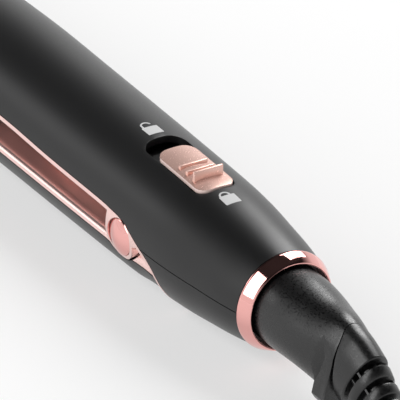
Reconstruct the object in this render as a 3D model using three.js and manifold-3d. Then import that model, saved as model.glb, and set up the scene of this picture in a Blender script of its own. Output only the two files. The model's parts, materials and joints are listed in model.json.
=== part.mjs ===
// Hair straightener with a lockable hinge and a swivel cord guard, in millimetres, +Z up.
// X runs along the tool from the plate tips (negative) to the cord end (positive).
// The hinge axis lies close to x = 0. The table is z = 0, and LEVEL is the body's axis above it.
import * as THREE from "three";
import { mergeVertices } from "three/addons/utils/BufferGeometryUtils.js";
import Module from "manifold-3d";

const wasm = await Module();
wasm.setup();

// Driving dimensions
const LEVEL = 17; // body axis above the table
const TIP_X = -206; // front end of both arms
const RING_X = 47; // front face of the chrome ring
const BODY_END = RING_X - 0.4; // rear end of the housing
const WALL = 2; // moulded wall
const GAP = 0.3; // clearance between neighbouring pieces
const SEAM = 0.12; // half of the line between the housing's two mouldings
const TRIM = 1.1; // height of the chrome lip beside the handle gap
const HANDLE_GAP = 5; // mid-plane to either shell edge along the handle
const PLATE_EDGE = 2; // mid-plane to either shell edge beside the plates
const OPENING = 16; // degrees that the lower arm swings down
const PIN = { x: -0.9, z: -1.2 }; // hinge axis, z from the body axis
const CROWN = 2; // height of the lower arm's chrome face over its shell's edge
const TAIL_SINK = 1.6; // how far that edge drops behind the ears
const EAR_R = 6;
const EAR_IN = 14.4; // inner face of each ear, from the middle
const CAP_R = 4.85;
const PLATE = { x0: -194, x1: -88, half: 12 };
const CARRIER_END = PLATE.x1 + 6;
const SLIDER = { x0: -4.4, x1: 17.1, half: 5.35, corner: 3.1 };
const POCKET = { x0: -10.9, x1: 17.6, half: 5.9, corner: 3.8 };
const FORK_HALF = 6.2; // half the width across the fork's flat sides
const FORK_PIN = { x: RING_X + 28.4, z: -5 };

// Finishes
function paint(color, roughness, metalness = 0) {
  return new THREE.MeshStandardMaterial({ color, roughness, metalness });
}
const SOFT_BLACK = paint(0x262627, 0.55);
const TEXTURED_BLACK = paint(0x1f1f20, 0.8);
const DARK_PLASTIC = paint(0x141414, 0.6);
const ROSE_CHROME = paint(0xe0a497, 0.12, 1);
const ROSE_SATIN = paint(0xe9b5a3, 0.35, 0.7);
const STEEL = paint(0xb9bbbd, 0.3, 1);
const BRASS = paint(0xc79a4a, 0.35, 1);
const CERAMIC = paint(0x57504c, 0.25, 0.4);
const HEATER = paint(0xd8d4cc, 0.6);
const BOARD = paint(0x1e5a38, 0.6);
const RUBBER = paint(0x101010, 0.9);
const LENS = paint(0xd9dde0, 0.1);
const WIRE_RED = paint(0x9a2a22, 0.6);
const WIRE_GREY = paint(0x8d9092, 0.6);

// Manifold helpers: a closed three.js geometry in, a named mesh out
function solid(geometry) {
  const bare = geometry.clone();
  for (const name of ["normal", "uv"]) bare.deleteAttribute(name);
  const merged = mergeVertices(bare, 1e-4);
  return new wasm.Manifold(
    new wasm.Mesh({
      numProp: 3,
      vertProperties: new Float32Array(merged.attributes.position.array),
      triVerts: new Uint32Array(merged.index.array),
    })
  );
}

function geometryOf(body) {
  const mesh = body.getMesh();
  const geometry = new THREE.BufferGeometry();
  geometry.setAttribute("position", new THREE.Float32BufferAttribute(mesh.vertProperties, 3));
  geometry.setIndex(new THREE.Uint32BufferAttribute(mesh.triVerts, 1));
  geometry.computeVertexNormals();
  return geometry;
}

const root = new THREE.Group();
root.name = "hair_straightener";

function add(name, body, material) {
  const mesh = new THREE.Mesh(body.isBufferGeometry ? body : geometryOf(body), material);
  mesh.name = name;
  root.add(mesh);
  return mesh;
}

const join = (...bodies) => bodies.reduce((sum, body) => sum.add(body));

// Basic forms, all placed with z measured from the body axis
function box(x0, x1, y0, y1, z0, z1) {
  const geometry = new THREE.BoxGeometry(x1 - x0, y1 - y0, z1 - z0);
  return solid(geometry.translate((x0 + x1) / 2, (y0 + y1) / 2, LEVEL + (z0 + z1) / 2));
}

// A side-view outline of [x, z] points or a Shape, run across the tool from y0 to y1
function across(outline, y0, y1) {
  const drawn = outline instanceof THREE.Shape;
  const shape = drawn ? outline : new THREE.Shape(outline.map(([x, z]) => new THREE.Vector2(x, z)));
  const depth = y1 - y0;
  const geometry = new THREE.ExtrudeGeometry(shape, { depth, bevelEnabled: false, curveSegments: 10 });
  return solid(geometry.rotateX(Math.PI / 2).translate(0, y1, LEVEL));
}

// A plan-view outline run up from z0 to z1
function upright(shape, z0, z1, curveSegments = 2) {
  const geometry = new THREE.ExtrudeGeometry(shape, { depth: z1 - z0, bevelEnabled: false, curveSegments });
  return solid(geometry.translate(0, 0, LEVEL + z0));
}

function roundedPlan(x0, x1, y0, y1, r) {
  const shape = new THREE.Shape();
  shape.moveTo(x0 + r, y0).lineTo(x1 - r, y0).absarc(x1 - r, y0 + r, r, -Math.PI / 2, 0);
  shape.lineTo(x1, y1 - r).absarc(x1 - r, y1 - r, r, 0, Math.PI / 2);
  shape.lineTo(x0 + r, y1).absarc(x0 + r, y1 - r, r, Math.PI / 2, Math.PI);
  shape.lineTo(x0, y0 + r).absarc(x0 + r, y0 + r, r, Math.PI, Math.PI * 1.5);
  return shape;
}

const planOf = ({ x0, x1, half, corner }) => roundedPlan(x0, x1, -half, half, corner);

// A round bar across the tool, such as the hinge pin, between y0 and y1
function crossBar(x, z, r, y0, y1, sides = 28) {
  const geometry = new THREE.CylinderGeometry(r, r, y1 - y0, sides);
  return solid(geometry.translate(x, (y0 + y1) / 2, LEVEL + z));
}

// A turned piece about the body axis, from a closed profile of [x, radius] points
function turned(profile, sides = 20) {
  const geometry = new THREE.LatheGeometry(profile.map(([x, r]) => new THREE.Vector2(r, x)), sides);
  return solid(geometry.rotateZ(-Math.PI / 2).translate(0, 0, LEVEL));
}

// An upright turned piece at x, y, from [radius, z] points
function turnedUp(profile, x, y, sides = 14) {
  const geometry = new THREE.LatheGeometry(profile.map(([r, z]) => new THREE.Vector2(r, z)), sides);
  return solid(geometry.rotateX(Math.PI / 2).translate(x, y, LEVEL));
}

// A wire along [x, y, z] points
function wire(points, r) {
  const path = new THREE.CatmullRomCurve3(points.map(([x, y, z]) => new THREE.Vector3(x, y, LEVEL + z)));
  const section = new THREE.Shape().absarc(0, 0, r, 0, 2 * Math.PI);
  return new THREE.ExtrudeGeometry(section, { extrudePath: path, steps: 8, curveSegments: 4 });
}

// A closed skin over rings of equal point counts, with flat ends
function loft(rings) {
  const count = rings[0].length;
  const points = rings.flat().map((p) => [p.x, p.y, p.z]);
  const faces = [];
  for (let i = 0; i + 1 < rings.length; i++) {
    for (let j = 0; j < count; j++) {
      const [a, b] = [i * count + j, i * count + ((j + 1) % count)];
      faces.push(a, b, a + count, b, b + count, a + count);
    }
  }
  const last = (rings.length - 1) * count;
  for (let j = 1; j + 1 < count; j++) faces.push(0, j + 1, j, last, last + j, last + j + 1);
  const geometry = new THREE.BufferGeometry();
  geometry.setAttribute("position", new THREE.Float32BufferAttribute(points.flat(), 3));
  geometry.setIndex(faces);
  return solid(geometry);
}

// Body form: half width and half height along the tool, read off the photographed outline
const FORM = [
  [-190, 16.2, 14.6],
  [-160, 16.9, 15.6],
  [-120, 18, 17],
  [-83, 18.8, 18.3],
  [-55, 18.6, 18.2],
  [-23, 18.3, 17.9],
  [0, 17.9, 17.6],
  [12, 17.6, 17.3],
  [19, 17.2, 16.9],
  [25, 16.6, 16.4],
  [31, 15.8, 15.7],
  [38.3, 14.9, 14.8],
  [44.1, 13.9, 13.9],
  [BODY_END, 13.4, 13.4],
];
const NOSE = 16; // length of the rounded front
const INNER_SIDES = 16; // facets round a hollow
const formCurve = new THREE.CatmullRomCurve3(
  FORM.map(([x, a, b]) => new THREE.Vector3(x, a, b)),
  false,
  "centripetal"
);
const bodyStations = [];
for (const turn of [0.16, 0.34, 0.52, 0.7, 0.87]) {
  const angle = (turn * Math.PI) / 2;
  const x = TIP_X + NOSE * (1 - Math.cos(angle));
  bodyStations.push([x, FORM[0][1] * Math.sin(angle) ** 0.8, FORM[0][2] * Math.sin(angle) ** 0.8]);
}
for (const p of formCurve.getPoints(20)) bodyStations.push([p.x, p.y, p.z]);

function oval(x, a, b, low = b, sides = 36) {
  const ring = [];
  for (let j = 0; j < sides; j++) {
    const t = (j / sides) * 2 * Math.PI;
    const height = (b - low) / 2 + ((b + low) / 2) * Math.sin(t);
    ring.push(new THREE.Vector3(x, a * Math.cos(t), LEVEL + height));
  }
  return ring;
}

const above = (z) => box(TIP_X - 10, 140, -40, 40, z, 60);
const skin = loft(bodyStations.map(([x, a, b]) => oval(x, a, b))).intersect(above(-LEVEL));

// The skin moved inwards, for hollows and for pieces that fit inside. It takes every other station.
function hollowLoft(stations, depth) {
  const kept = stations.filter(([x]) => x > TIP_X + 2);
  const used = kept.filter((_, i) => i % 2 === 0 || i === kept.length - 1);
  return loft(used.map(([x, a, b]) => oval(x, a - depth, b - depth, b - depth, INNER_SIDES)));
}
function inside(depth, x0 = TIP_X + 3, x1 = BODY_END - WALL) {
  return hollowLoft(bodyStations, depth).intersect(box(x0, x1, -40, 40, -LEVEL + depth - 0.4, 40));
}

// Side view of the upper shell's lower edge: beside the plates, up to the handle gap, and the V cut
const handleEdge = [
  [-92, PLATE_EDGE],
  [-86, PLATE_EDGE + 0.35],
  [-74, HANDLE_GAP - 0.6],
  [-66, HANDLE_GAP + 0.6],
  [-54, HANDLE_GAP + 0.8],
  [-36, HANDLE_GAP + 0.3],
  [-12, HANDLE_GAP],
  [-6, 4.7],
  [-1, 4.2],
  [3, 2.85],
  [8, 0.45],
];
const vEdge = [
  [11, -1],
  [13.6, -3.1],
  [15.1, -5.7],
  [15.5, -7.35],
  [16, -9.4],
  [16.4, -14],
  [16.5, -LEVEL],
];
const edge = [[TIP_X - 10, PLATE_EDGE], ...handleEdge, ...vEdge];

// The same edge moved by d: downwards along the handle, forwards in the V cut
function shifted(points, d) {
  return points.map(([x, z], i) => {
    const [px, pz] = points[Math.max(i - 1, 0)];
    const [nx, nz] = points[Math.min(i + 1, points.length - 1)];
    const length = Math.hypot(nx - px, nz - pz);
    return [x + ((nz - pz) / length) * d, z - ((nx - px) / length) * d];
  });
}

const FAR = 60;
// Everything over or behind the edge, moved by d
function overEdge(d) {
  const line = shifted(edge, d);
  const bottom = line[line.length - 1][0];
  return across([...line, [bottom, -30], [140, -30], [140, FAR], [line[0][0], FAR]], -40, 40);
}

// Lower arm: its own form, which tucks in behind the hinge so that its tail can swing into the housing
const TAIL_END = 15.3;
const lowerStations = bodyStations.filter(([x]) => x < -9);
lowerStations.push([-8, ...sizeOf(-8)]);
for (const [x, a, b] of [
  [1, 17.75, 17.55],
  [4, 17.15, 17.35],
  [7, 16.8, 17.2],
  [11, 16.6, 17.1],
  [TAIL_END, 16.4, 16.95],
]) {
  lowerStations.push([x, a, b]);
}
const lowerEdge = [
  [TIP_X - 10, -PLATE_EDGE],
  ...handleEdge.filter(([x]) => x < -10).map(([x, z]) => [x, -Math.min(z, HANDLE_GAP)]),
  [-8, -HANDLE_GAP],
  [3, -HANDLE_GAP - TAIL_SINK],
  [8, -HANDLE_GAP - TAIL_SINK - 0.35],
  [TAIL_END + 4, -HANDLE_GAP - TAIL_SINK - 1.3],
];
const edgeEnd = lowerEdge[lowerEdge.length - 1][1] + 0.4;
const CROWN_CUT = CROWN + TAIL_SINK + 1;
const tailLine = shifted(edge, TRIM + 0.45).filter(([, z]) => z < edgeEnd + CROWN_CUT);

// The lower arm's side view, moved down by d from its upper edge and by rear from its tail end
function lowerSide(d, rear = 0) {
  const top = lowerEdge.filter(([x]) => x < tailLine[0][0] - 2).map(([x, z]) => [x, z - d]);
  const tail = tailLine.filter(([, z]) => z < edgeEnd - d).map(([x, z]) => [x - rear, z]);
  const end = tail[tail.length - 1][0];
  const start = tail[0];
  const first = [start[0] - 0.5, edgeEnd - d];
  return [...top, first, ...tail, [end, -30], [TIP_X - 10, -30]];
}

const lowerSkin = loft(lowerStations.map(([x, a, b]) => oval(x, a, b))).intersect(above(-LEVEL));
function sizeOf(x) {
  const i = bodyStations.findIndex(([sx]) => sx > x);
  const [from, to] = [bodyStations[i - 1], bodyStations[i]];
  return [1, 2].map((k) => from[k] + ((to[k] - from[k]) * (x - from[0])) / (to[0] - from[0]));
}
function lowerInside(depth, x1) {
  return hollowLoft(lowerStations, depth).intersect(box(TIP_X + 3, x1, -40, 40, -LEVEL + depth - 0.4, 40));
}

// Room that the tail sweeps when the arm opens, cut out of the housing
function swing(body, degrees) {
  return body
    .translate([-PIN.x, 0, -LEVEL - PIN.z])
    .rotate([0, -degrees, 0])
    .translate([PIN.x, 0, LEVEL + PIN.z]);
}
const tailStations = lowerStations
  .filter(([x]) => x > -30)
  .map(([x, a, b]) => oval(x, a + 0.3, b + 0.3, b + 0.3, INNER_SIDES));
const tailBody = loft(tailStations)
  .intersect(across(lowerSide(-0.3 - CROWN * 0.75 - TAIL_SINK, -0.3), -40, 40))
  .intersect(box(2, 30, -40, 40, -LEVEL, 0));
let sweep = tailBody;
const SWING_STEPS = 5;
for (let i = 0; i < SWING_STEPS; i++) {
  const [from, to] = [i, i + 1].map((k) => (k / SWING_STEPS) * (OPENING + 0.6));
  sweep = sweep.add(wasm.Manifold.hull([swing(tailBody, from), swing(tailBody, to)]));
}

// Housing and arms
const hollow = inside(WALL);
const upperSide = [
  ...shifted([[TIP_X - 10, PLATE_EDGE], ...handleEdge], 0),
  [8.7, SEAM],
  [140, SEAM],
  [140, FAR],
  [TIP_X - 10, FAR],
];

function buildUpperShell() {
  const pocket = upright(planOf(POCKET), 8, 40, 3);
  const swivelBore = turned([[40, 0], [40, 5.2], [60, 5.2], [60, 0]]);
  const screwBoss = turnedUp([[0, 0.6], [3, 0.6], [3, 15.4], [0, 15.4]], 27, 0);
  const screwHole = turnedUp([[0, -1], [1.3, -1], [1.3, 10], [0, 10]], 27, 0);
  let shell = skin.subtract(hollow).intersect(across(upperSide, -40, 40));
  shell = shell.subtract(pocket).subtract(swivelBore).subtract(sweep);
  return shell.add(screwBoss.intersect(skin)).subtract(screwHole);
}
add("upper_shell", buildUpperShell(), SOFT_BLACK);

function buildRearCover() {
  const behind = overEdge(0);
  const lowerHalf = box(8, 140, -40, 40, -LEVEL, -SEAM);
  const swivelBore = turned([[40, 0], [40, 5.2], [60, 5.2], [60, 0]]);
  const boss = turnedUp([[0, -16.4], [4, -16.4], [4, -0.6], [0, -0.6]], 27, 0);
  const screwWay = turnedUp([[0, -18], [2.9, -18], [2.9, -13], [1.6, -13], [1.6, 2], [0, 2]], 27, 0);
  const cover = skin.subtract(hollow).intersect(behind).intersect(lowerHalf).subtract(swivelBore);
  return cover.subtract(sweep).add(boss.intersect(skin)).subtract(screwWay);
}
add("rear_cover", buildRearCover(), SOFT_BLACK);

// Chrome trims that line the handle gap. The upper one carries the ears that hold the hinge pin.
function lipBand(d0, d1) {
  const from = edge.filter(([x]) => x > -80);
  from.unshift([CARRIER_END + GAP, HANDLE_GAP - 1.9]);
  const start = shifted(from, d0);
  const end = shifted(from, d1).reverse();
  return [...start, ...end];
}

function buildUpperTrim() {
  const band = across(lipBand(0.25, TRIM), -40, 40).intersect(skin);
  const barrelRoom = crossBar(PIN.x, PIN.z, 3.9, -14.2, 14.2);
  const wireRoom = box(-20, -8, -6, 6, 0, 12);
  const earOutline = new THREE.Shape();
  earOutline.moveTo(PIN.x - EAR_R, 4.3).lineTo(PIN.x - EAR_R, PIN.z);
  earOutline.absarc(PIN.x, PIN.z, EAR_R, Math.PI, 2 * Math.PI, false);
  earOutline.lineTo(7.2, -0.2).lineTo(3, 1.9).lineTo(-1, 3.6);
  const ears = [-1, 1].map((side) => {
    const [y0, y1] = side < 0 ? [-30, -EAR_IN] : [EAR_IN, 30];
    return across(earOutline, y0, y1).intersect(skin);
  });
  let trim = band.subtract(barrelRoom).subtract(wireRoom).subtract(sweep);
  trim = join(trim, ...ears).subtract(crossBar(PIN.x, PIN.z, 1.8, -30, 30, 14));
  for (const side of [-1, 1]) {
    const [y0, y1] = side < 0 ? [-30, -16.3] : [16.3, 30];
    trim = trim.subtract(crossBar(PIN.x, PIN.z, CAP_R + 0.25, y0, y1));
  }
  return trim;
}
add("upper_trim", buildUpperTrim(), ROSE_CHROME);

function buildLowerShell() {
  const skin = lowerSkin.intersect(across(lowerSide(0), -40, 40));
  const shell = skin.subtract(lowerInside(WALL, TAIL_END - WALL));
  const earRoom = crossBar(PIN.x, PIN.z, EAR_R + 0.45, -30, 30);
  return shell.subtract(earRoom);
}
add("lower_shell", buildLowerShell(), SOFT_BLACK);

const TRIM_FLOOR = 1.3; // depth of the lower arm's chrome face under the shell's edge
const FILLET = 2.2; // its rounded sides
const KEYS = [
  { name: "power", x: -51, half: 3.6 },
  { name: "minus", x: -40, half: 3 },
  { name: "plus", x: -31, half: 3 },
];
const PANEL = { x0: -58, x1: -24, half: 6.4, top: -2.8 };

// The chrome face stands over the shell's edge, with rounded sides, and sinks to the edge beside the plates
function lowerEdgeAt(x) {
  const i = Math.max(1, lowerEdge.findIndex(([px]) => px > x));
  const [[x0, z0], [x1, z1]] = [lowerEdge[i - 1], lowerEdge[i]];
  return z0 + ((z1 - z0) * (x - x0)) / (x1 - x0);
}

function crownRing(x, a, b) {
  const edgeZ = lowerEdgeAt(x);
  const front = THREE.MathUtils.clamp((x + 84) / 16, 0.15, 1);
  const sink = THREE.MathUtils.clamp((x + 8) / 11, 0, 1) * TAIL_SINK;
  const rise = CROWN * Math.min(front, 1 - Math.max(0, x - 2) * 0.036) + sink;
  const half = a * Math.sqrt(1 - (edgeZ / b) ** 2) - 0.15;
  const ring = [];
  for (let i = 0; i <= 4; i++) {
    const angle = (i / 4) * (Math.PI / 2);
    ring.push([half - FILLET * (1 - Math.cos(angle)), edgeZ + rise - FILLET + FILLET * Math.sin(angle)]);
  }
  const lowest = edgeZ + 0.22;
  const right = [[half - 0.3, lowest], ...ring.filter(([, z]) => z > lowest + 0.05)];
  while (right.length < 6) right.splice(1, 0, [half - 0.2, lowest + 0.02 * (6 - right.length)]);
  const left = right.map(([y, z]) => [-y, z]).reverse();
  return [...right, ...left].map(([y, z]) => new THREE.Vector3(x, y, LEVEL + z));
}

function buildLowerTrim() {
  const start = CARRIER_END + GAP;
  const rows = [[start, ...sizeOf(start)], ...lowerStations.filter(([x]) => x > start + 1)];
  const crown = loft(rows.map(([x, a, b]) => crownRing(x, a, b)));
  const lip = crown.intersect(across(lowerSide(-CROWN_CUT, 0.4), -40, 40));
  const inner = lowerInside(WALL + 0.15, 13)
    .intersect(box(start, 13, -40, 40, -12, 5))
    .intersect(across(lowerSide(-0.35, 0.4), -40, 40))
    .subtract(across(lowerSide(TRIM_FLOOR), -40, 40));
  const barrel = crossBar(PIN.x, PIN.z, 3.4, -14, 14);
  const web = box(PIN.x - 3.2, PIN.x + 3.2, -14, 14, -6, PIN.z);
  const earRoom = join(
    crossBar(PIN.x, PIN.z, EAR_R + 0.45, -30, -EAR_IN + 0.3),
    crossBar(PIN.x, PIN.z, EAR_R + 0.45, EAR_IN - 0.3, 30)
  );
  let trim = join(lip, inner, barrel, web).subtract(earRoom);
  trim = trim.subtract(crossBar(PIN.x, PIN.z, 1.8, -30, 30, 14));
  const panelHole = roundedPlan(PANEL.x0 - GAP, PANEL.x1 + GAP, -PANEL.half - GAP, PANEL.half + GAP, 3);
  return trim.subtract(upright(panelHole, -12, 5)).subtract(box(-9, 9, -4.4, 4.4, -12, 12));
}
add("lower_trim", buildLowerTrim(), ROSE_CHROME);

add("hinge_pin", crossBar(PIN.x, PIN.z, 1.5, -16, 16, 20), STEEL);

// A coil on the pin pushes the arms apart once the lock lets go
function buildOpeningSpring() {
  const turns = 4;
  const low = PIN.z - 2.6;
  const points = [[-8, -3.4, low], [-4, -3.4, low]];
  for (let i = 0; i <= turns * 8; i++) {
    const angle = (i / 8) * 2 * Math.PI + Math.PI * 1.5;
    points.push([PIN.x + 2.6 * Math.cos(angle), -3.2 + (i / 8) * 1.6, PIN.z + 2.6 * Math.sin(angle)]);
  }
  const section = new THREE.Shape().absarc(0, 0, 0.5, 0, 2 * Math.PI);
  const path = new THREE.CatmullRomCurve3(points.map(([x, y, z]) => new THREE.Vector3(x, y, LEVEL + z)));
  return new THREE.ExtrudeGeometry(section, { extrudePath: path, steps: turns * 8 + 6, curveSegments: 3 });
}
add("opening_spring", buildOpeningSpring(), STEEL);

for (const side of [-1, 1]) {
  const dome = [[0, 0], [CAP_R, 0], [CAP_R, 1.1]];
  for (const t of [0.93, 0.7, 0.4, 0]) dome.push([CAP_R * t, 1.95 - 0.7 * t * t]);
  const profile = dome.map(([r, h]) => new THREE.Vector2(r, h));
  const cap = new THREE.LatheGeometry(profile, 28);
  if (side < 0) cap.rotateX(Math.PI);
  cap.translate(PIN.x, side * 16.6, LEVEL + PIN.z);
  add(side < 0 ? "pivot_cap_left" : "pivot_cap_right", solid(cap), ROSE_CHROME);
}

// Rubber stops under the upper trim, ahead of the ears
for (const side of [-1, 1]) {
  const stop = turnedUp([[0, 2.2], [1.1, 2.2], [1.4, 2.7], [1.4, 3.5], [0, 3.5]], -12.5, side * 13.4);
  add(side < 0 ? "stop_pad_left" : "stop_pad_right", stop, RUBBER);
}

// Lock: a slider in a pocket on top of the housing, with a bed under it and a latch bolt inside
const topAt = (x) => sizeOf(x)[1];

function buildSliderBed() {
  const plan = roundedPlan(POCKET.x0 - 2, POCKET.x1 + 2, -7.6, 7.6, 3);
  const bed = upright(plan, 11.6, 14).intersect(inside(WALL + GAP));
  const step = upright(roundedPlan(-8.4, 14, -4.2, 4.2, 1.5), 13.5, 14.6);
  const slot = upright(roundedPlan(-2.6, 14.4, -1.6, 1.6, 1.5), 10, 16);
  return bed.add(step.intersect(inside(WALL - 1.2))).subtract(slot);
}
add("slider_bed", buildSliderBed(), DARK_PLASTIC);

const RIBS = [
  { x: 4.9, high: 0.55, half: 4.2 },
  { x: 8.2, high: 0.75, half: 4.2 },
  { x: 11.7, high: 2.4, half: 4.4 },
];

function buildLockSlider() {
  const plan = upright(planOf(SLIDER), 12, 30, 3);
  const crown = (lift) => {
    const line = [];
    for (let i = 0; i <= 10; i++) {
      const x = SLIDER.x0 - 1 + ((SLIDER.x1 - SLIDER.x0 + 2) * i) / 10;
      line.push([x, topAt(x) + lift]);
    }
    return line;
  };
  const rings = crown(0.35).map(([x, z]) => oval(x, topAt(x) + 0.35 + 3, z));
  const under = [...crown(-1.3), ...crown(4).reverse()];
  const cap = plan.intersect(loft(rings)).intersect(across(under, -40, 40));
  const ribs = RIBS.map(({ x, high, half }) => {
    const top = topAt(x) + 0.35 + high;
    return across([[x - 0.6, 16], [x + 0.6, 16], [x + 0.4, top], [x - 0.4, top]], -half, half);
  });
  const stem = upright(roundedPlan(3.6, 13.2, -1.2, 1.2, 1.1), 10.6, 16.4);
  return join(cap, stem, ...ribs);
}
add("lock_slider", buildLockSlider(), ROSE_SATIN);
add("latch_bolt", join(box(0, 16, -2.4, 2.4, 8.6, 10.3), box(0, 2.4, -2.4, 2.4, 6.6, 9)), STEEL);

// Control board in the upper handle
add("main_pcb", box(-80, -14, -10, 10, 7.6, 9.2), BOARD);
add("capacitor", turnedUp([[0, 9.5], [4, 9.5], [4, 13.4], [0, 13.4]], -62, 3), paint(0x2c4c8c, 0.4));
add("triac", box(-48, -38, -4.6, 4.6, 9.5, 13), DARK_PLASTIC);
add("thermal_fuse", box(-79, -69, -13.1, -10.9, 6.3, 7.9), HEATER);

// Plates: the upper one is fixed, and the lower one floats on pads
function carrier(sign) {
  const span = { x0: TIP_X + 5, x1: CARRIER_END };
  const side = sign > 0 ? inside(WALL + GAP) : lowerInside(WALL + GAP, 10);
  const [z0, z1] = sign > 0 ? [0.7, 9] : [-9, -0.7];
  const half = PLATE.half + 1.4;
  const block = side.intersect(box(span.x0, span.x1, -half, half, z0, z1));
  // The lower bay is open at its sides, as the floating plate is led by the shell's mouth
  const bay = { x0: PLATE.x0 - GAP, x1: PLATE.x1 + GAP, half: sign > 0 ? PLATE.half + GAP : half + 1 };
  const [under, over] = sign > 0 ? [-1, 2.7] : [-3.6, 1];
  const deep = box(bay.x0, bay.x1, -bay.half, bay.half, under, over);
  const room = { x0: PLATE.x0 + 6, x1: PLATE.x1 - 6, half: PLATE.half - 5 };
  const [low, high] = sign > 0 ? [2, 6.2] : [-7.2, -2];
  const heaterBay = box(room.x0, room.x1, -room.half, room.half, low, high);
  return block.subtract(deep).subtract(heaterBay);
}
add("upper_carrier", carrier(1), DARK_PLASTIC);
add("lower_carrier", carrier(-1), DARK_PLASTIC);

function hotPlate(sign) {
  const section = new THREE.Shape();
  const h = PLATE.half;
  section.moveTo(-h, 2.35).lineTo(-h, 0.9).quadraticCurveTo(-h, 0.15, -h + 1.2, 0.15);
  section.lineTo(h - 1.2, 0.15).quadraticCurveTo(h, 0.15, h, 0.9).lineTo(h, 2.35);
  const geometry = new THREE.ExtrudeGeometry(section, {
    depth: PLATE.x1 - PLATE.x0,
    bevelEnabled: false,
    curveSegments: 5,
  });
  geometry.rotateX(Math.PI / 2).rotateZ(Math.PI / 2);
  if (sign < 0) geometry.rotateX(Math.PI);
  return solid(geometry.translate(PLATE.x0, 0, LEVEL));
}
add("upper_plate", hotPlate(1), CERAMIC);
add("lower_plate", hotPlate(-1), CERAMIC);
const HEATER_SPAN = { x0: PLATE.x0 + 8, x1: PLATE.x1 - 8, half: PLATE.half - 6 };
function heater(z0, z1) {
  return box(HEATER_SPAN.x0, HEATER_SPAN.x1, -HEATER_SPAN.half, HEATER_SPAN.half, z0, z1);
}
add("upper_heater", heater(2.65, 5.4), HEATER);
add("lower_heater", heater(-5.2, -2.65), HEATER);
for (const [i, x] of [-174, -108].entries()) {
  add(`float_pad_${i + 1}`, box(x - 4, x + 4, -4, 4, -6.9, -6.3), RUBBER);
}

// Keys on the lower arm's inner face
function buildControlPanel() {
  const plan = roundedPlan(PANEL.x0, PANEL.x1, -PANEL.half, PANEL.half, 2.7);
  let panel = upright(plan, -6.2, PANEL.top);
  for (const key of KEYS) {
    const hole = roundedPlan(key.x - key.half - GAP, key.x + key.half + GAP, -3.3, 3.3, 1.8);
    panel = panel.subtract(upright(hole, -8, 0));
  }
  return panel.subtract(upright(roundedPlan(-45.7, -44.1, -3.4, 3.4, 0.7), -8, 0));
}
add("control_panel", buildControlPanel(), DARK_PLASTIC);
add("indicator_lens", upright(roundedPlan(-45.4, -44.4, -3.1, 3.1, 0.45), -6, PANEL.top), LENS);
add("key_pcb", box(-59, -23, -6, 6, -10, -8.6), BOARD);
for (const key of KEYS) {
  const cap = upright(roundedPlan(key.x - key.half, key.x + key.half, -3, 3, 1.5), -4.2, PANEL.top + 0.8);
  const stem = box(key.x - 1.2, key.x + 1.2, -1.2, 1.2, -6.7, -4);
  add(`${key.name}_button`, join(cap, stem), ROSE_SATIN);
  add(`${key.name}_switch`, box(key.x - 2.4, key.x + 2.4, -2.4, 2.4, -8.3, -7.5), STEEL);
}

// Ring, swivel, fork and guard at the cord end
const ringProfile = [
  [RING_X - 0.1, 11.65],
  [RING_X - 0.1, 13.35],
  [RING_X + 0.25, 13.7],
  [RING_X + 0.7, 13.6],
  [RING_X + 3.6, 12.3],
  [RING_X + 3.9, 12.05],
  [RING_X + 3.9, 11.65],
  [RING_X - 0.1, 11.65],
];
add("ring_collar", turned(ringProfile, 36), ROSE_CHROME);

// Half width, height over and depth under the axis along the swivel
const SOCKET = [
  [0.5, 10.75, 10.75, 10.75],
  [6, 10.75, 10.75, 10.75],
  [10, 10.6, 10.7, 10.7],
  [15.4, 10, 10.2, 10.75],
  [21, 9, 9.7, 11.4],
  [25, 8.05, 9.75, 12.4],
  [28, 7.35, 9.55, 13.6],
  [31, 6.75, 8.8, 14.6],
  [33, 6.4, 8.2, 15.2],
];
const FORK = [
  [23, 8.5, 9.7, 15.2],
  [26, 7.8, 9.75, 16],
  [28, 7.35, 9.55, 16.6],
  [30, 6.95, 9, 17],
  [33, 6.5, 8.2, 17.8],
];
// Side view of the fork's flat sides: where they leave the tube, and their rear edge with the guard's gap
const forkFront = [
  [27.5, 9],
  [27, 5.8],
  [26.5, 0.1],
  [25.7, -5],
  [25.2, -8.1],
  [24.3, -14],
  [24.6, -15.8],
];
const forkRear = [
  [29.9, 9.6, 0.35],
  [30.8, 8.1, 0.35],
  [31.4, 7, 0.37],
  [31.75, 5.7, 0.4],
  [31.9, 3.2, 0.5],
  [31.75, -0.3, 0.8],
  [31, -4.6, 1.3],
  [30.4, -8, 1.8],
  [30.1, -12, 2.7],
  [30, -15.8, 3.8],
];

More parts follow.
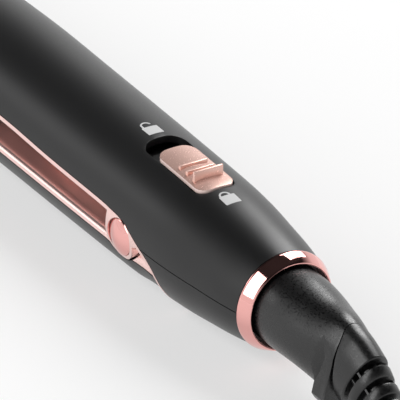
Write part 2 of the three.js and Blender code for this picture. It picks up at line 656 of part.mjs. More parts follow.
// The tube runs on as the fork's crest, and the two cheeks hang down under it
function buildSwivel() {
  const rear = forkRear.map(([u, z]) => [RING_X + u, z]);
  const front = forkFront.map(([u, z]) => [RING_X + u, z]);
  const ahead = [[RING_X - 1, 14], [RING_X + 29, 14], ...rear, [RING_X + 30, -20], [RING_X - 1, -20]];
  const skin = loft(SOCKET.map(([u, a, b, low]) => oval(RING_X + u, a, b, low, 28)));
  const tube = skin.intersect(across(ahead, -40, 40));
  const low = loft(FORK.map(([u, a, b, low]) => oval(RING_X + u, a, b, low, 24)));
  const side = across([...front, ...[...rear].reverse()], -FORK_HALF, FORK_HALF);
  const cheeks = low.intersect(side).subtract(above(-3));
  const stem = turned([[RING_X - 14, 0], [RING_X - 14, 4.7], [RING_X + 3, 4.7], [RING_X + 3, 0]]);
  const beyond = [...front, [RING_X + 24.6, -40], [140, -40], [140, 9]];
  const flanks = across(beyond, -40, -FORK_HALF).add(across(beyond, FORK_HALF, 40));
  const slot = crossBar(FORK_PIN.x, FORK_PIN.z, 6.1, -3.5, 3.5).add(
    box(FORK_PIN.x, FORK_PIN.x + 12, -3.5, 3.5, FORK_PIN.z - 5.4, FORK_PIN.z + 4.6)
  );
  const wireWay = turned([[RING_X - 20, 0], [RING_X - 20, 2.2], [RING_X + 26, 2.2], [RING_X + 26, 0]], 12);
  const body = join(tube.subtract(flanks), cheeks, stem).subtract(slot).subtract(wireWay);
  return body.subtract(crossBar(FORK_PIN.x, FORK_PIN.z, 1.8, -5.2, 5.2, 14));
}
add("swivel_socket", buildSwivel(), TEXTURED_BLACK);
const CLIP = { x: RING_X - 5.6, thick: 1.2, inner: 5, outer: 7.6 };
function band(x, thick, inner, outer) {
  return turned([[x, inner], [x, outer], [x + thick, outer], [x + thick, inner], [x, inner]]);
}
add("retainer_clip", band(CLIP.x, CLIP.thick, CLIP.inner, CLIP.outer), STEEL);
for (const [i, x] of [RING_X - 12.6, RING_X - 9.2].entries()) {
  add(`contact_ring_${i + 1}`, band(x, 2, 5, 5.7), BRASS);
}
function buildBrushBlock() {
  const block = box(RING_X - 13.4, RING_X - 6.4, -6, 6, 7, 10.2);
  const brushes = [RING_X - 12.4, RING_X - 9].map((x) => box(x, x + 1.6, -1, 1, 6, 7.4));
  return join(block, ...brushes);
}
add("brush_block", buildBrushBlock(), DARK_PLASTIC);
add("knuckle_pin", crossBar(FORK_PIN.x, FORK_PIN.z, 1.5, -4.9, 4.9, 20), STEEL);

// The guard droops from the fork and levels out onto the table
const GUARD = { u: 29.5, z: -0.62, droop: 24.4, bend: 18.5, level: 34, length: 49, sides: 18 };
const FIN = { first: 8.5, groove: 1.55, pitch: 4.4, count: 8 };
// Distance along the guard's smooth head, half width, height over and depth under its axis
const HEAD = [[-5, 7, 9, 14.2], [-2.5, 6.8, 9.3, 13.5], [0, 6.6, 9.7, 12.8], [2, 6.45, 10, 12], [6, 6.2, 10.05, 10.8]];
// Distance along the fins, half width, half height and depth of the grooves
const guardSize = [[FIN.first, 6, 10, 2.3]];
for (let s = FIN.first + 2; s < GUARD.length + 2; s += 2) {
  const fade = (over) => Math.exp((FIN.first - s) / over);
  guardSize.push([s, 4.4 + 1.6 * fade(17.4), 4.5 + 5.5 * fade(9.8), 0.8 + 1.5 * fade(14)]);
}
function sizeAt(s) {
  const i = Math.max(1, guardSize.findIndex(([t]) => t >= s));
  const [from, to] = [guardSize[i - 1], guardSize[i]];
  return from.map((value, k) => value + ((to[k] - value) * (s - from[0])) / (to[0] - from[0]));
}
function guardPoint(s) {
  const steps = 40;
  let [x, z] = [RING_X + GUARD.u, GUARD.z];
  const share = (t) => 1 - THREE.MathUtils.clamp((t - GUARD.bend) / (GUARD.level - GUARD.bend), 0, 1);
  const droopAt = (t) => THREE.MathUtils.degToRad(GUARD.droop * share(t));
  for (let i = 0; i < steps; i++) {
    const angle = droopAt((s * (i + 0.5)) / steps);
    x += (Math.cos(angle) * s) / steps;
    z -= (Math.sin(angle) * s) / steps;
  }
  return { x, z, angle: droopAt(s) };
}
function guardRing(s, a, b, low = b, sides = GUARD.sides) {
  const { x, z, angle } = guardPoint(s);
  const ring = [];
  for (let j = 0; j < sides; j++) {
    const t = (j / sides) * 2 * Math.PI;
    const up = (b - low) / 2 + ((b + low) / 2) * Math.sin(t);
    const [dx, dz] = [up * Math.sin(angle), up * Math.cos(angle)];
    ring.push(new THREE.Vector3(x + dx, a * Math.cos(t), LEVEL + z + dz));
  }
  return ring;
}

function buildGuard() {
  const rings = HEAD.map((row) => guardRing(...row));
  const full = (s, less = 0) => guardRing(s, sizeAt(s)[1] - less, sizeAt(s)[2] - less);
  const core = (s) => guardRing(s, sizeAt(s)[1] - sizeAt(s)[3], sizeAt(s)[2] - sizeAt(s)[3] * 1.25);
  for (let i = 0; i <= FIN.count; i++) {
    const rear = FIN.first + i * FIN.pitch;
    rings.push(full(rear), core(rear + 0.15), core(rear + FIN.groove - 0.15), full(rear + FIN.groove, 0.1));
  }
  rings.push(full(GUARD.length - 0.6, 0.2), full(GUARD.length, 0.7));
  let guard = loft(rings);
  const front = [...forkRear.map(([u, z, gap]) => [RING_X + u + gap, z]), [140, -30], [140, 30]];
  front.unshift([RING_X + 29, 14]);
  guard = guard.intersect(across(front, -40, 40));
  const tongue = crossBar(FORK_PIN.x, FORK_PIN.z, 4.5, -3.2, 3.2);
  const neck = box(FORK_PIN.x, RING_X + 34.5, -3.2, 3.2, FORK_PIN.z - 3.2, FORK_PIN.z + 3.4);
  const bore = loft([-3, 2].map((step) => guardRing(GUARD.length + step, 2.7, 2.7, 2.7, 16)));
  const pinHole = crossBar(FORK_PIN.x, FORK_PIN.z, 1.8, -30, 30, 14);
  return join(guard, tongue, neck).subtract(bore).subtract(pinHole);
}
add("cord_guard", buildGuard(), TEXTURED_BLACK);

// Screw and leads
function buildScrew() {
  const head = turnedUp([[0, -15.8], [2.6, -15.8], [2.6, -13.3], [0, -13.3]], 27, 0, 18);
  const shank = turnedUp([[0, -13.6], [1, -13.6], [1, 9.4], [0, 9.4]], 27, 0, 12);
  const drive = join(box(25.2, 28.8, -0.35, 0.35, -17, -15), box(26.65, 27.35, -1.8, 1.8, -17, -15));
  return join(head, shank).subtract(drive);
}
add("cover_screw", buildScrew(), STEEL);
for (const side of [-1, 1]) {
  const name = side < 0 ? "left" : "right";
  const along = [[-66, side * 5, 6.7], [-71, side * 5.4, 6.4], [-76, side * 7, 6], [-81.5, side * 8, 5.8]];
  add(`heater_lead_${name}`, wire(along, 0.6), side < 0 ? WIRE_RED : WIRE_GREY);
}

export default root;
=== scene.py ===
"""Hair straightener: the visual model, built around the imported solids.

Lengths are millimetres in the tables and metres in Blender. X runs from the plates to the cord end.
"""
import json
import math

import bmesh
import bpy
from bpy.props import FloatProperty, FloatVectorProperty, PointerProperty
from mathutils import Matrix, Vector


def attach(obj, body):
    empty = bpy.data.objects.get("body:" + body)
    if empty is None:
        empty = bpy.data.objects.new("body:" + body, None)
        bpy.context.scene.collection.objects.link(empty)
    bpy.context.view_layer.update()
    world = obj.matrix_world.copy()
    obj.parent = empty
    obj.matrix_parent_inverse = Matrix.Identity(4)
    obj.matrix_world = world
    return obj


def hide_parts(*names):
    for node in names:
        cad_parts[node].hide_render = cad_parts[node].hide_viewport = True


bl_info = {
    "name": "Hair Straightener",
    "version": (1, 0, 0),
    "blender": (4, 5, 0),
    "location": "View3D > Sidebar > Straightener",
    "description": "Builds the outside of a hair straightener around its packed solids",
    "category": "Mesh",
}

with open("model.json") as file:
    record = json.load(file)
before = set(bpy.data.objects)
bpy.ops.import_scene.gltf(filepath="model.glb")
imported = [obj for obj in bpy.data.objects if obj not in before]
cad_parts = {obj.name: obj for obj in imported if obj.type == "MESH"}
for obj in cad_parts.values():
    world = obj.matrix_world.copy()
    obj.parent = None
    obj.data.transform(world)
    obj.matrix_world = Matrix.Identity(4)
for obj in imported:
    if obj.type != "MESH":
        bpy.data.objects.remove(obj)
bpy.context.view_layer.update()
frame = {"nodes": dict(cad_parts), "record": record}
NODES = frame["nodes"]

MM = 0.001
LEVEL = 17.0  # body axis over the table
TIP_X = -206.0  # front end of both arms
RING_X = 47.0  # front face of the chrome ring
BODY_END = RING_X - 0.4
WALL = 2.0
SEAM = 0.12  # half of the line between the housing's mouldings
TRIM = 1.1  # height of the chrome lip
TRIM_FLOOR = 1.3  # depth of the lower arm's chrome face under its shell's edge
TRIM_FILLET = 3  # rounded sides of that face
HANDLE_GAP = 5.0  # mid-plane to either shell's edge along the handle
PLATE_EDGE = 2.0  # and beside the plates
PIN_X = -0.9  # hinge axis
PIN_Z = -1.2
EAR_R = 6.0
EAR_IN = 14.4  # inner face of each ear, from the middle
EAR_GAP = 0.45
BARREL_R = 3.4
BARREL_HALF = 14
PIN_ROOM = 1.8  # radius of the hole for the pin
CAP_R = 4.85
CAP_BASE = 16.6  # foot of each cap, from the middle
TAIL_END = 15.3
TRIM_FRONT = -81.7
CROWN = 2.0  # height of the lower arm's chrome face over its shell's edge
TAIL_SINK = 1.6  # how far the lower arm's edge drops behind the ears
POCKET = (-10.9, 17.6, 5.9, 3.8)  # x0, x1, half width, corner radius
SLIDER = (-4.4, 17.1, 5.35, 3.1)
SLIDER_PROUD = 0.35  # how far the slider stands out of the housing
RIBS = [(4.9, 0.55, 4.2), (8.2, 0.75, 4.2), (11.7, 2.4, 4.4)]  # x, height, half width
FORK_HALF = 6.9
FORK_PIN = (RING_X + 28.4, -5.0)
SLOT_HALF = 3.5
TONGUE_HALF = 3.2
PEAK = 14  # over the cord end
SIDE = 30  # past either side of the tool
REAR = 140  # behind the tool
FAR = 60  # over or under it
SIDES = ((-1, "left"), (1, "right"))
SCREW_X = 27
KEYS = [("power", -51, 3.6), ("minus", -40, 3.0), ("plus", -31, 3.0)]  # name, x, half length
KEY_HALF = 3
KEY_GAP = 0.3
PANEL = (-58, -24, 6.4, -2.8)  # x0, x1, half width, top
LENS = (-45.4, -44.4, 3.1, 0.45)
PLATE = (-194, -88, 12)  # x0, x1, half width
PLATE_THICK = 2.2
PLATE_GAP = 0.15


def away(*objects):
    """Deselect all, then select these and make the last one active."""
    if bpy.context.object and bpy.context.object.mode != "OBJECT":
        bpy.ops.object.mode_set(mode="OBJECT")
    bpy.ops.object.select_all(action="DESELECT")
    for item in objects:
        item.select_set(True)
        bpy.context.view_layer.objects.active = item


# Modelling helpers. Outlines and stations are in millimetres, with z from the body axis.


def point(x, y, z):
    """A place in metres from millimetres, with z from the body axis."""
    return Vector((x * MM, y * MM, (LEVEL + z) * MM))


def edit(piece):
    """Open a piece in edit mode with all of it selected."""
    away(piece)
    bpy.ops.object.mode_set(mode="EDIT")
    bpy.ops.mesh.select_all(action="SELECT")


def close_up(piece):
    """Face a closed piece outwards and leave edit mode."""
    bpy.ops.mesh.select_all(action="SELECT")
    bpy.ops.mesh.normals_make_consistent(inside=False)
    bpy.ops.object.mode_set(mode="OBJECT")
    return piece


def lean(angle, centre):
    """Tip the top forwards by an angle. With no window the operator turns the other way."""
    if angle:
        bpy.ops.transform.rotate(value=-angle, orient_axis="Y", center_override=centre)


def grow(name, stations, sides=96):
    """An oval that is extruded and resized from station to station.

    A station is x, half width, half height, centre's z and, where it leans, its droop.
    """
    away()
    turn = (0, math.pi / 2, 0)
    bpy.ops.mesh.primitive_circle_add(vertices=sides, radius=1, fill_type="NGON", rotation=turn)
    piece = bpy.context.object
    piece.name = name
    bpy.ops.object.transform_apply(location=False, rotation=True, scale=False)
    edit(piece)
    before = None
    for x, a, b, z, *droop in stations:
        centre = point(x, 0, z)
        angle = droop[0] if droop else 0
        if before is None:
            bpy.ops.transform.resize(value=(1, a * MM, b * MM), center_override=(0, 0, 0))
            bpy.ops.transform.translate(value=centre)
        else:
            old_centre, old_a, old_b, old_angle = before
            bpy.ops.mesh.extrude_region_move(TRANSFORM_OT_translate={"value": centre - old_centre})
            lean(-old_angle, centre)
            bpy.ops.transform.resize(value=(1, a / old_a, b / old_b), center_override=centre)
        lean(angle, centre)
        before = (centre, a, b, angle)
    return close_up(piece)


def draw_flat(name, outline):
    """A closed outline of points in metres, drawn as a wire and filled, left open in edit mode."""
    away()
    bpy.ops.mesh.primitive_plane_add(size=MM)
    piece = bpy.context.object
    piece.name = name
    edit(piece)
    bpy.ops.mesh.merge(type="CENTER")
    bpy.ops.transform.translate(value=outline[0])
    for start, end in zip(outline, outline[1:]):
        bpy.ops.mesh.extrude_vertices_move(TRANSFORM_OT_translate={"value": end - start})
    bpy.ops.mesh.select_all(action="SELECT")
    bpy.ops.mesh.edge_face_add()
    return piece


def draw_out(name, outline, push):
    """A closed outline of points in metres, filled and pushed out by a vector."""
    piece = draw_flat(name, outline)
    bpy.ops.mesh.extrude_region_move(TRANSFORM_OT_translate={"value": push})
    return close_up(piece)


def slab(name, side, y0=-40, y1=40):
    """A side-view outline of (x, z) points run across the tool."""
    outline = [point(x, y0, z) for x, z in side]
    return draw_out(name, outline, Vector((0, (y1 - y0) * MM, 0)))


def column(name, plan, z0, z1):
    """A plan-view outline of (x, y) points run upwards."""
    outline = [point(x, y, z0) for x, y in plan]
    return draw_out(name, outline, Vector((0, 0, (z1 - z0) * MM)))


def cylinder(name, middle, radius, length, turn, sides):
    """A round bar about a point in metres."""
    away()
    bpy.ops.mesh.primitive_cylinder_add(
        vertices=sides, radius=radius * MM, depth=length * MM, location=middle, rotation=turn
    )
    piece = bpy.context.object
    piece.name = name
    bpy.ops.object.transform_apply()
    return piece


def rod(name, x, z, radius, y0, y1, sides=64):
    """A round bar across the tool."""
    return cylinder(name, point(x, (y0 + y1) / 2, z), radius, y1 - y0, (math.pi / 2, 0, 0), sides)


def post(name, x, y, radius, z0, z1, sides=48):
    """An upright round bar."""
    return cylinder(name, point(x, y, (z0 + z1) / 2), radius, z1 - z0, (0, 0, 0), sides)


def outer_span(side, inner):
    """From an inner face out past one side of the tool."""
    return (inner, SIDE) if side > 0 else (-SIDE, -inner)


def combine(piece, tool, operation="DIFFERENCE", keep=False):
    """Cut with, join to or meet with a tool, which is then removed."""
    away(piece)
    modifier = piece.modifiers.new("Combine", "BOOLEAN")
    modifier.operation = operation
    modifier.solver = "EXACT"
    modifier.object = tool
    bpy.ops.object.modifier_apply(modifier=modifier.name)
    if not keep:
        bpy.data.objects.remove(tool, do_unlink=True)
    return piece


def copy_of(piece, name):
    """A copy with its own mesh."""
    away(piece)
    bpy.ops.object.duplicate()
    double = bpy.context.object
    double.name = name
    return double


def soften(piece, width, picked, segments=3, angle=50):
    """Round the sharp edges whose ends both pass a test of (x, y, z) in millimetres."""
    edit(piece)
    bpy.ops.mesh.select_all(action="DESELECT")
    mesh = bmesh.from_edit_mesh(piece.data)
    for edge in mesh.edges:
        ends = [(v.co.x / MM, v.co.y / MM, v.co.z / MM - LEVEL) for v in edge.verts]
        sharp = len(edge.link_faces) == 2 and edge.calc_face_angle(0) > math.radians(angle)
        edge.select_set(sharp and all(picked(*end) for end in ends))
    bmesh.update_edit_mesh(piece.data)
    bpy.ops.mesh.bevel(offset=width * MM, segments=segments, affect="EDGES", clamp_overlap=True)
    bpy.ops.object.mode_set(mode="OBJECT")


def near_line(line, reach=0.08):
    """A test for points on a side-view line of (x, z) that runs downwards."""

    def picked(x, y, z):
        for (x0, z0), (x1, z1) in zip(line, line[1:]):
            if z1 - 1e-6 <= z <= z0 + 1e-6:
                return abs(x - x0 - (x1 - x0) * (z - z0) / (z1 - z0)) < reach
        return False

    return picked


def bevel(piece, width, segments, angle=50):
    """Round all edges that are sharper than an angle."""
    away(piece)
    modifier = piece.modifiers.new("Bevel", "BEVEL")
    modifier.width = width * MM
    modifier.segments = segments
    modifier.limit_method = "ANGLE"
    modifier.angle_limit = math.radians(angle)
    bpy.ops.object.modifier_apply(modifier=modifier.name)
    return piece


def settle(piece, angle, name, body, slot, *nodes):
    """Shade and name a finished piece, give it its finish and its body, and hide the nodes that it
    replaces.
    """
    away(piece)
    bpy.ops.object.shade_smooth_by_angle(angle=math.radians(angle))
    piece.name = name
    piece.data.name = name
    coat(piece, slot)
    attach(piece, body)
    if nodes:
        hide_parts(*nodes)
    return piece


def along(points, count):
    """A smooth line through points of any size, as count + 1 points."""
    line = []
    spans = len(points) - 1
    for i in range(count + 1):
        t = i / count * spans
        k = min(int(t), spans - 1)
        t -= k
        ends = [points[max(k - 1, 0)], points[k], points[k + 1], points[min(k + 2, spans)]]
        line.append([hermite(*[end[c] for end in ends], t) for c in range(len(points[0]))])
    return line


def hermite(before, start, end, after, t):
    """Value at t between start and end, with slopes from their neighbours."""
    return cubic(start, end, (end - before) / 2, (after - start) / 2, t)


def cubic(start, end, rise, fall, t):
    """Value at t between start and end, with the slopes there."""
    return (
        (2 * t**3 - 3 * t**2 + 1) * start
        + (t**3 - 2 * t**2 + t) * rise
        + (3 * t**2 - 2 * t**3) * end
        + (t**3 - t**2) * fall
    )


def even(points, step):
    """A line through (x, ...) points, read at even steps of x."""
    return [at(points, x) for x in steps(points[0][0], points[-1][0], step)]


def steps(start, end, step):
    """Even places from start to end, about a step apart."""
    count = max(1, round((end - start) / step))
    return [start + (end - start) * i / count for i in range(count + 1)]


def at(points, x):
    """The (x, ...) row at x on a smooth line through rows that run in x."""
    last = len(points) - 2
    k = next((i for i in range(last + 1) if points[i + 1][0] >= x), last)
    rows = [points[max(k - 1, 0)], points[k], points[k + 1], points[min(k + 2, last + 1)]]
    width = rows[2][0] - rows[1][0]
    t = (x - rows[1][0]) / width
    row = [x]
    for c in range(1, len(points[0])):
        slopes = []
        for i in (1, 2):
            span = rows[i + 1][0] - rows[i - 1][0]
            slopes.append((rows[i + 1][c] - rows[i - 1][c]) / span * width if span else 0)
        row.append(cubic(rows[1][c], rows[2][c], *slopes, t))
    return row


def shifted(points, d):
    """A side-view line moved by d: downwards along the handle, forwards in the V cut."""
    line = []
    for i, (x, z) in enumerate(points):
        before = points[max(i - 1, 0)]
        after = points[min(i + 1, len(points) - 1)]
        dx, dz = after[0] - before[0], after[1] - before[1]
        length = math.hypot(dx, dz)
        line.append((x + dz / length * d, z - dx / length * d))
    return line


def oblong(x0, x1, z0, z1):
    """A rectangle's corners."""
    return [(x0, z0), (x1, z0), (x1, z1), (x0, z1)]


def rounded(x0, x1, half, radius, count=8):
    """A rectangle with round corners about the middle line, as (x, y) points."""
    plan = []
    for x, y, start in [(x1, -half, -90), (x1, half, 0), (x0, half, 90), (x0, -half, 180)]:
        middle_x = x - radius if x == x1 else x + radius
        middle_y = y - math.copysign(radius, y)
        for i in range(count + 1):
            angle = math.radians(start + 90 * i / count)
            plan.append((middle_x + radius * math.cos(angle), middle_y + radius * math.sin(angle)))
    return plan


def pad(name, plan, z0, z1, count=8):
    """An upright block with round corners, from its x0, x1, half width and corner radius."""
    return column(name, rounded(*plan, count), z0, z1)


def around(box, gap, radius):
    """The plan of a block that leaves a gap round a box of x0, x1 and half width."""
    return (box[0] - gap, box[1] + gap, box[2] + gap, radius)


# Forms, as the solids have them: x, half width, half height

FORM = [
    (-190, 16.2, 14.6), (-160, 16.9, 15.6), (-120, 18, 17), (-83, 18.8, 18.3), (-55, 18.6, 18.2),
    (-23, 18.3, 17.9), (0, 17.9, 17.6), (12, 17.6, 17.3), (19, 17.2, 16.9), (25, 16.6, 16.4),
    (31, 15.8, 15.7), (38.3, 14.9, 14.8), (44.1, 13.9, 13.9), (BODY_END, 13.4, 13.4),
]
NOSE = 16
nose_rows = []
for i in range(12):
    angle = math.radians(14.4 + 66 * i / 11)
    swell = math.sin(angle) ** 0.8
    nose_rows.append((TIP_X + NOSE * (1 - math.cos(angle)), FORM[0][1] * swell, FORM[0][2] * swell))
BODY = nose_rows + [tuple(at(FORM, x)) for x in steps(-190, BODY_END, 3.2)]
TAIL = [
    (-1, 17.87, 17.58), (1, 17.75, 17.55), (4, 17.15, 17.35), (7, 16.8, 17.2), (11, 16.6, 17.1),
    (TAIL_END, 16.4, 16.95),
]
LOWER = [row for row in BODY if row[0] < -2.5] + [tuple(at(TAIL, x)) for x in steps(-1, TAIL_END, 1.6)]

HANDLE_EDGE = [
    (-92, PLATE_EDGE), (-86, PLATE_EDGE + 0.35), (-74, HANDLE_GAP - 0.6), (-66, HANDLE_GAP + 0.6),
    (-54, HANDLE_GAP + 0.8), (-36, HANDLE_GAP + 0.3), (-12, HANDLE_GAP), (-6, 4.7), (-1, 4.2),
    (3, 2.85), (8, 0.45),
]
V_EDGE = [
    (8, 0.45), (11, -1), (13.6, -3.1), (15.1, -5.7), (15.5, -7.35), (16, -9.4), (16.4, -14),
    (16.5, -LEVEL),
]
handle_line = [tuple(row) for row in along(HANDLE_EDGE, 60)]
v_line = [tuple(row) for row in along(V_EDGE, 24)]
EDGE = handle_line + v_line[1:]
LOWER_EDGE = [(x, -min(z, HANDLE_GAP)) for x, z in handle_line if x < -10]
LOWER_EDGE += [
    (-8, -HANDLE_GAP), (3, -HANDLE_GAP - TAIL_SINK), (8, -HANDLE_GAP - TAIL_SINK - 0.35),
    (TAIL_END + 4, -HANDLE_GAP - TAIL_SINK - 1.3),
]
EDGE_END = LOWER_EDGE[-1][1] + 0.4


def ovals(rows, depth=0.0, x0=-400, x1=400):
    """Stations for grow from rows of x, half width, half height, all moved inwards."""
    return [(x, a - depth, b - depth, 0) for x, a, b in rows if x0 <= x <= x1]


def lower_side(down, rear=0.0):
    """The lower arm's side view, moved down from its upper edge and forwards from its tail end."""
    tail = [(x - rear, z) for x, z in shifted(v_line, TRIM + 0.45) if z < EDGE_END - down]
    limit = tail[0][0] - 1.2
    top = [(TIP_X - 10, -PLATE_EDGE - down)] + [(x, z - down) for x, z in LOWER_EDGE if x < limit]
    return top + tail + [(tail[-1][0], -30), (TIP_X - 10, -30)]


def tail_room():
    """The space that the lower arm's tail sweeps as it opens."""
    sweep = [(2, -3), (4, -1.9), (12.5, 1.1), (15, 0.9), (16.6, -1), (18.4, -6)]
    sweep += [(19.5, -11.6), (18, -14.9), (16.4, -18), (2, -18)]
    room = slab("tail_room", sweep)
    rows = [(x, a, b) for x, a, b in TAIL] + [(24, 16.4, 16.95)]
    return combine(room, grow("tail_oval", ovals(rows, -0.35), 64), "INTERSECT")


def flat_floor():
    """Everything under the table, which trims the narrow flat along the lower arm."""
    return slab("under_table", oblong(TIP_X - 20, REAR + 10, -LEVEL - 20, -LEVEL))


def hollow(rows, depth, x0, x1):
    """The inner space of a shell, from x0 to x1."""
    return grow("inner", ovals(rows, depth, x0, x1), 64)


def lower_edge_at(x):
    """Height of the lower arm's upper edge."""
    for start, end in zip(LOWER_EDGE, LOWER_EDGE[1:]):
        if start[0] <= x <= end[0]:
            return start[1] + (end[1] - start[1]) * (x - start[0]) / (end[0] - start[0])
    return LOWER_EDGE[0][1]


# Cord end, as distances from the ring. The socket's and the cheeks' rows have half width, height over
# the axis and depth under it. The fork's rear rows have z and the gap to the guard.

RING = [
    (-0.1, 13.3), (0.0, 13.5), (0.2, 13.66), (0.45, 13.68), (0.8, 13.6), (2.2, 12.98), (3.45, 12.37),
    (3.7, 12.22), (3.88, 12.02), (3.92, 11.85), (3.8, 11.68),
]
SOCKET = [
    (0.3, 10.75, 10.75, 10.75), (6, 10.75, 10.75, 10.75), (10, 10.6, 10.7, 10.7),
    (15.4, 10, 10.2, 10.75), (21, 9, 9.7, 11.4), (25, 8.05, 9.75, 12.4), (28, 7.35, 9.55, 13.6),
    (31, 6.75, 8.8, 14.6), (33, 6.4, 8.2, 15.2),
]
FORK = [
    (23, 9.2, 9.7, 16.4), (26, 8.8, 9.75, 17), (28, 8.6, 9.55, 17.4), (30, 8.4, 9, 17.8),
    (33, 8.2, 8.2, 18.2),
]
FORK_FRONT = [(27.5, 9), (27, 5.8), (26.5, 0.1), (25.7, -5), (25.2, -8.1), (24.3, -14), (24.6, -15.8)]
FORK_REAR = [
    (29.9, 9.6, 0.35), (30.8, 8.1, 0.35), (31.4, 7, 0.37), (31.75, 5.7, 0.4), (31.9, 3.2, 0.5),
    (31.75, -0.3, 0.8), (31, -4.6, 1.3), (30.4, -8, 1.8), (30.1, -12, 2.7), (30, -15.8, 3.8),
]


def deep(rows, step=1.0):
    """Stations for ovals whose depth differs from their height."""
    return [(RING_X + u, a, (up + down) / 2, (up - down) / 2) for u, a, up, down in even(rows, step)]


GUARD_START = (RING_X + 29.5, -0.62)
GUARD_DROOP = 24.4
GUARD_BEND = 18.5
GUARD_LEVEL = 34
GUARD_LENGTH = 49
GUARD_HEAD = [
    (-5, 7, 9, 14.2), (-2.5, 6.8, 9.3, 13.5), (0, 6.6, 9.7, 12.8), (2, 6.45, 10, 12),
    (6, 6.2, 10.05, 10.8), (8.5, 6, 10, 10),
]
FIN_FIRST = 8.5
FIN_GROOVE = 1.55
FIN_PITCH = 4.4
FIN_COUNT = 8
GROOVE = [  # past a fin's rear edge, rounding of the edge, share of the groove's depth
    (-0.3, 0, 0), (-0.12, 0.12, 0), (0, 0.4, 0), (0.1, 0, 0.85), (0.35, 0, 1),
    (FIN_GROOVE - 0.35, 0, 1), (FIN_GROOVE - 0.1, 0, 0.85), (FIN_GROOVE, 0.4, 0),
    (FIN_GROOVE + 0.12, 0.14, 0), (FIN_GROOVE + 0.35, 0.03, 0),
]
WEBS = [(0, 42), (0, 21), (1, 39)]  # groove, degrees up from the side


def guard_size(s):
    """Half width, height over and depth under the guard's axis, and depth of the grooves."""
    if s < FIN_FIRST:
        return (*at(GUARD_HEAD, s)[1:], 2.3)
    past = s - FIN_FIRST
    high = 4.5 + 5.5 * math.exp(-past / 9.8)
    return 4.4 + 1.6 * math.exp(-past / 17.4), high, high, 0.8 + 1.5 * math.exp(-past / 14)


def guard_point(s):
    """Centre (x, z) and droop in radians at a distance along the guard."""
    x, z = GUARD_START
    count = 40

    def droop(t):
        bent = min(max((t - GUARD_BEND) / (GUARD_LEVEL - GUARD_BEND), 0), 1)
        return math.radians(GUARD_DROOP * (1 - bent))

    for i in range(count):
        angle = droop(s * (i + 0.5) / count)
        x += math.cos(angle) * s / count
        z -= math.sin(angle) * s / count
    return x, z, droop(s)


# Materials


def new_material(name):
    """An empty node material with a Principled shader."""
    material = bpy.data.materials.new(name)
    material.use_nodes = True
    tree = material.node_tree
    shader = tree.nodes["Principled BSDF"]
    return material, tree, shader


def feed(tree, node, inputs):
    """Set a node's inputs, each to a value or to another node's output."""
    for key, value in inputs.items():
        if isinstance(value, bpy.types.NodeSocket):
            tree.links.new(value, node.inputs[key])
        else:
            node.inputs[key].default_value = value


def add(tree, kind, inputs):
    """A new node of a kind, with its inputs."""
    node = tree.nodes.new("ShaderNode" + kind)
    feed(tree, node, inputs)
    return node


def noise(tree, scale, detail=3.0):
    """Noise on the object's own coordinates."""
    where = add(tree, "TexCoord", {}).outputs["Object"]
    return add(tree, "TexNoise", {"Vector": where, "Scale": scale, "Detail": detail}).outputs["Fac"]


def spread(tree, source, low, high):
    """The source's middle range laid out between two values."""
    ends = {"From Min": 0.3, "From Max": 0.7, "To Min": low, "To Max": high}
    return add(tree, "MapRange", {"Value": source, **ends}).outputs["Result"]


def tint(tree, source, dark, light):
    """The source's middle range laid out between two colours."""
    ramp = add(tree, "ValToRGB", {"Fac": source})
    for element, position, color in zip(ramp.color_ramp.elements, (0.3, 0.7), (dark, light)):
        element.position = position
        element.color = (*color, 1)
    return ramp.outputs["Color"]


def seen(tree):
    """1 for camera, glossy and transmission rays, and 0 for others."""
    rays = add(tree, "LightPath", {}).outputs
    total = rays["Is Camera Ray"]
    for name in ("Is Glossy Ray", "Is Transmission Ray"):
        greater = add(tree, "Math", {0: total, 1: rays[name]})
        greater.operation = "MAXIMUM"
        total = greater.outputs["Value"]
    return total


def make_finish(
    name, color, roughness, metallic, vary=0.06, grain=900, depth=0.01, bump=0.2, sheen=0.5, patchy=0.06
):
    """A finish with slight variation of colour and roughness, and a grain."""
    material, tree, shader = new_material(name)
    dark = [channel * (1 - vary) for channel in color]
    light = [min(1, channel * (1 + vary)) for channel in color]
    fine = noise(tree, grain, 2.0)
    inputs = {
        "Base Color": tint(tree, noise(tree, 55.0, 2.0), dark, light),
        "Roughness": spread(tree, fine, roughness * (1 - patchy), roughness * (1 + patchy)),
        "Metallic": metallic,
        "Specular IOR Level": sheen,
    }
    if bump:
        relief = add(tree, "Bump", {"Strength": bump, "Distance": depth * MM, "Height": fine})
        inputs["Normal"] = relief.outputs["Normal"]
    feed(tree, shader, inputs)
    return material


FINISH = {}


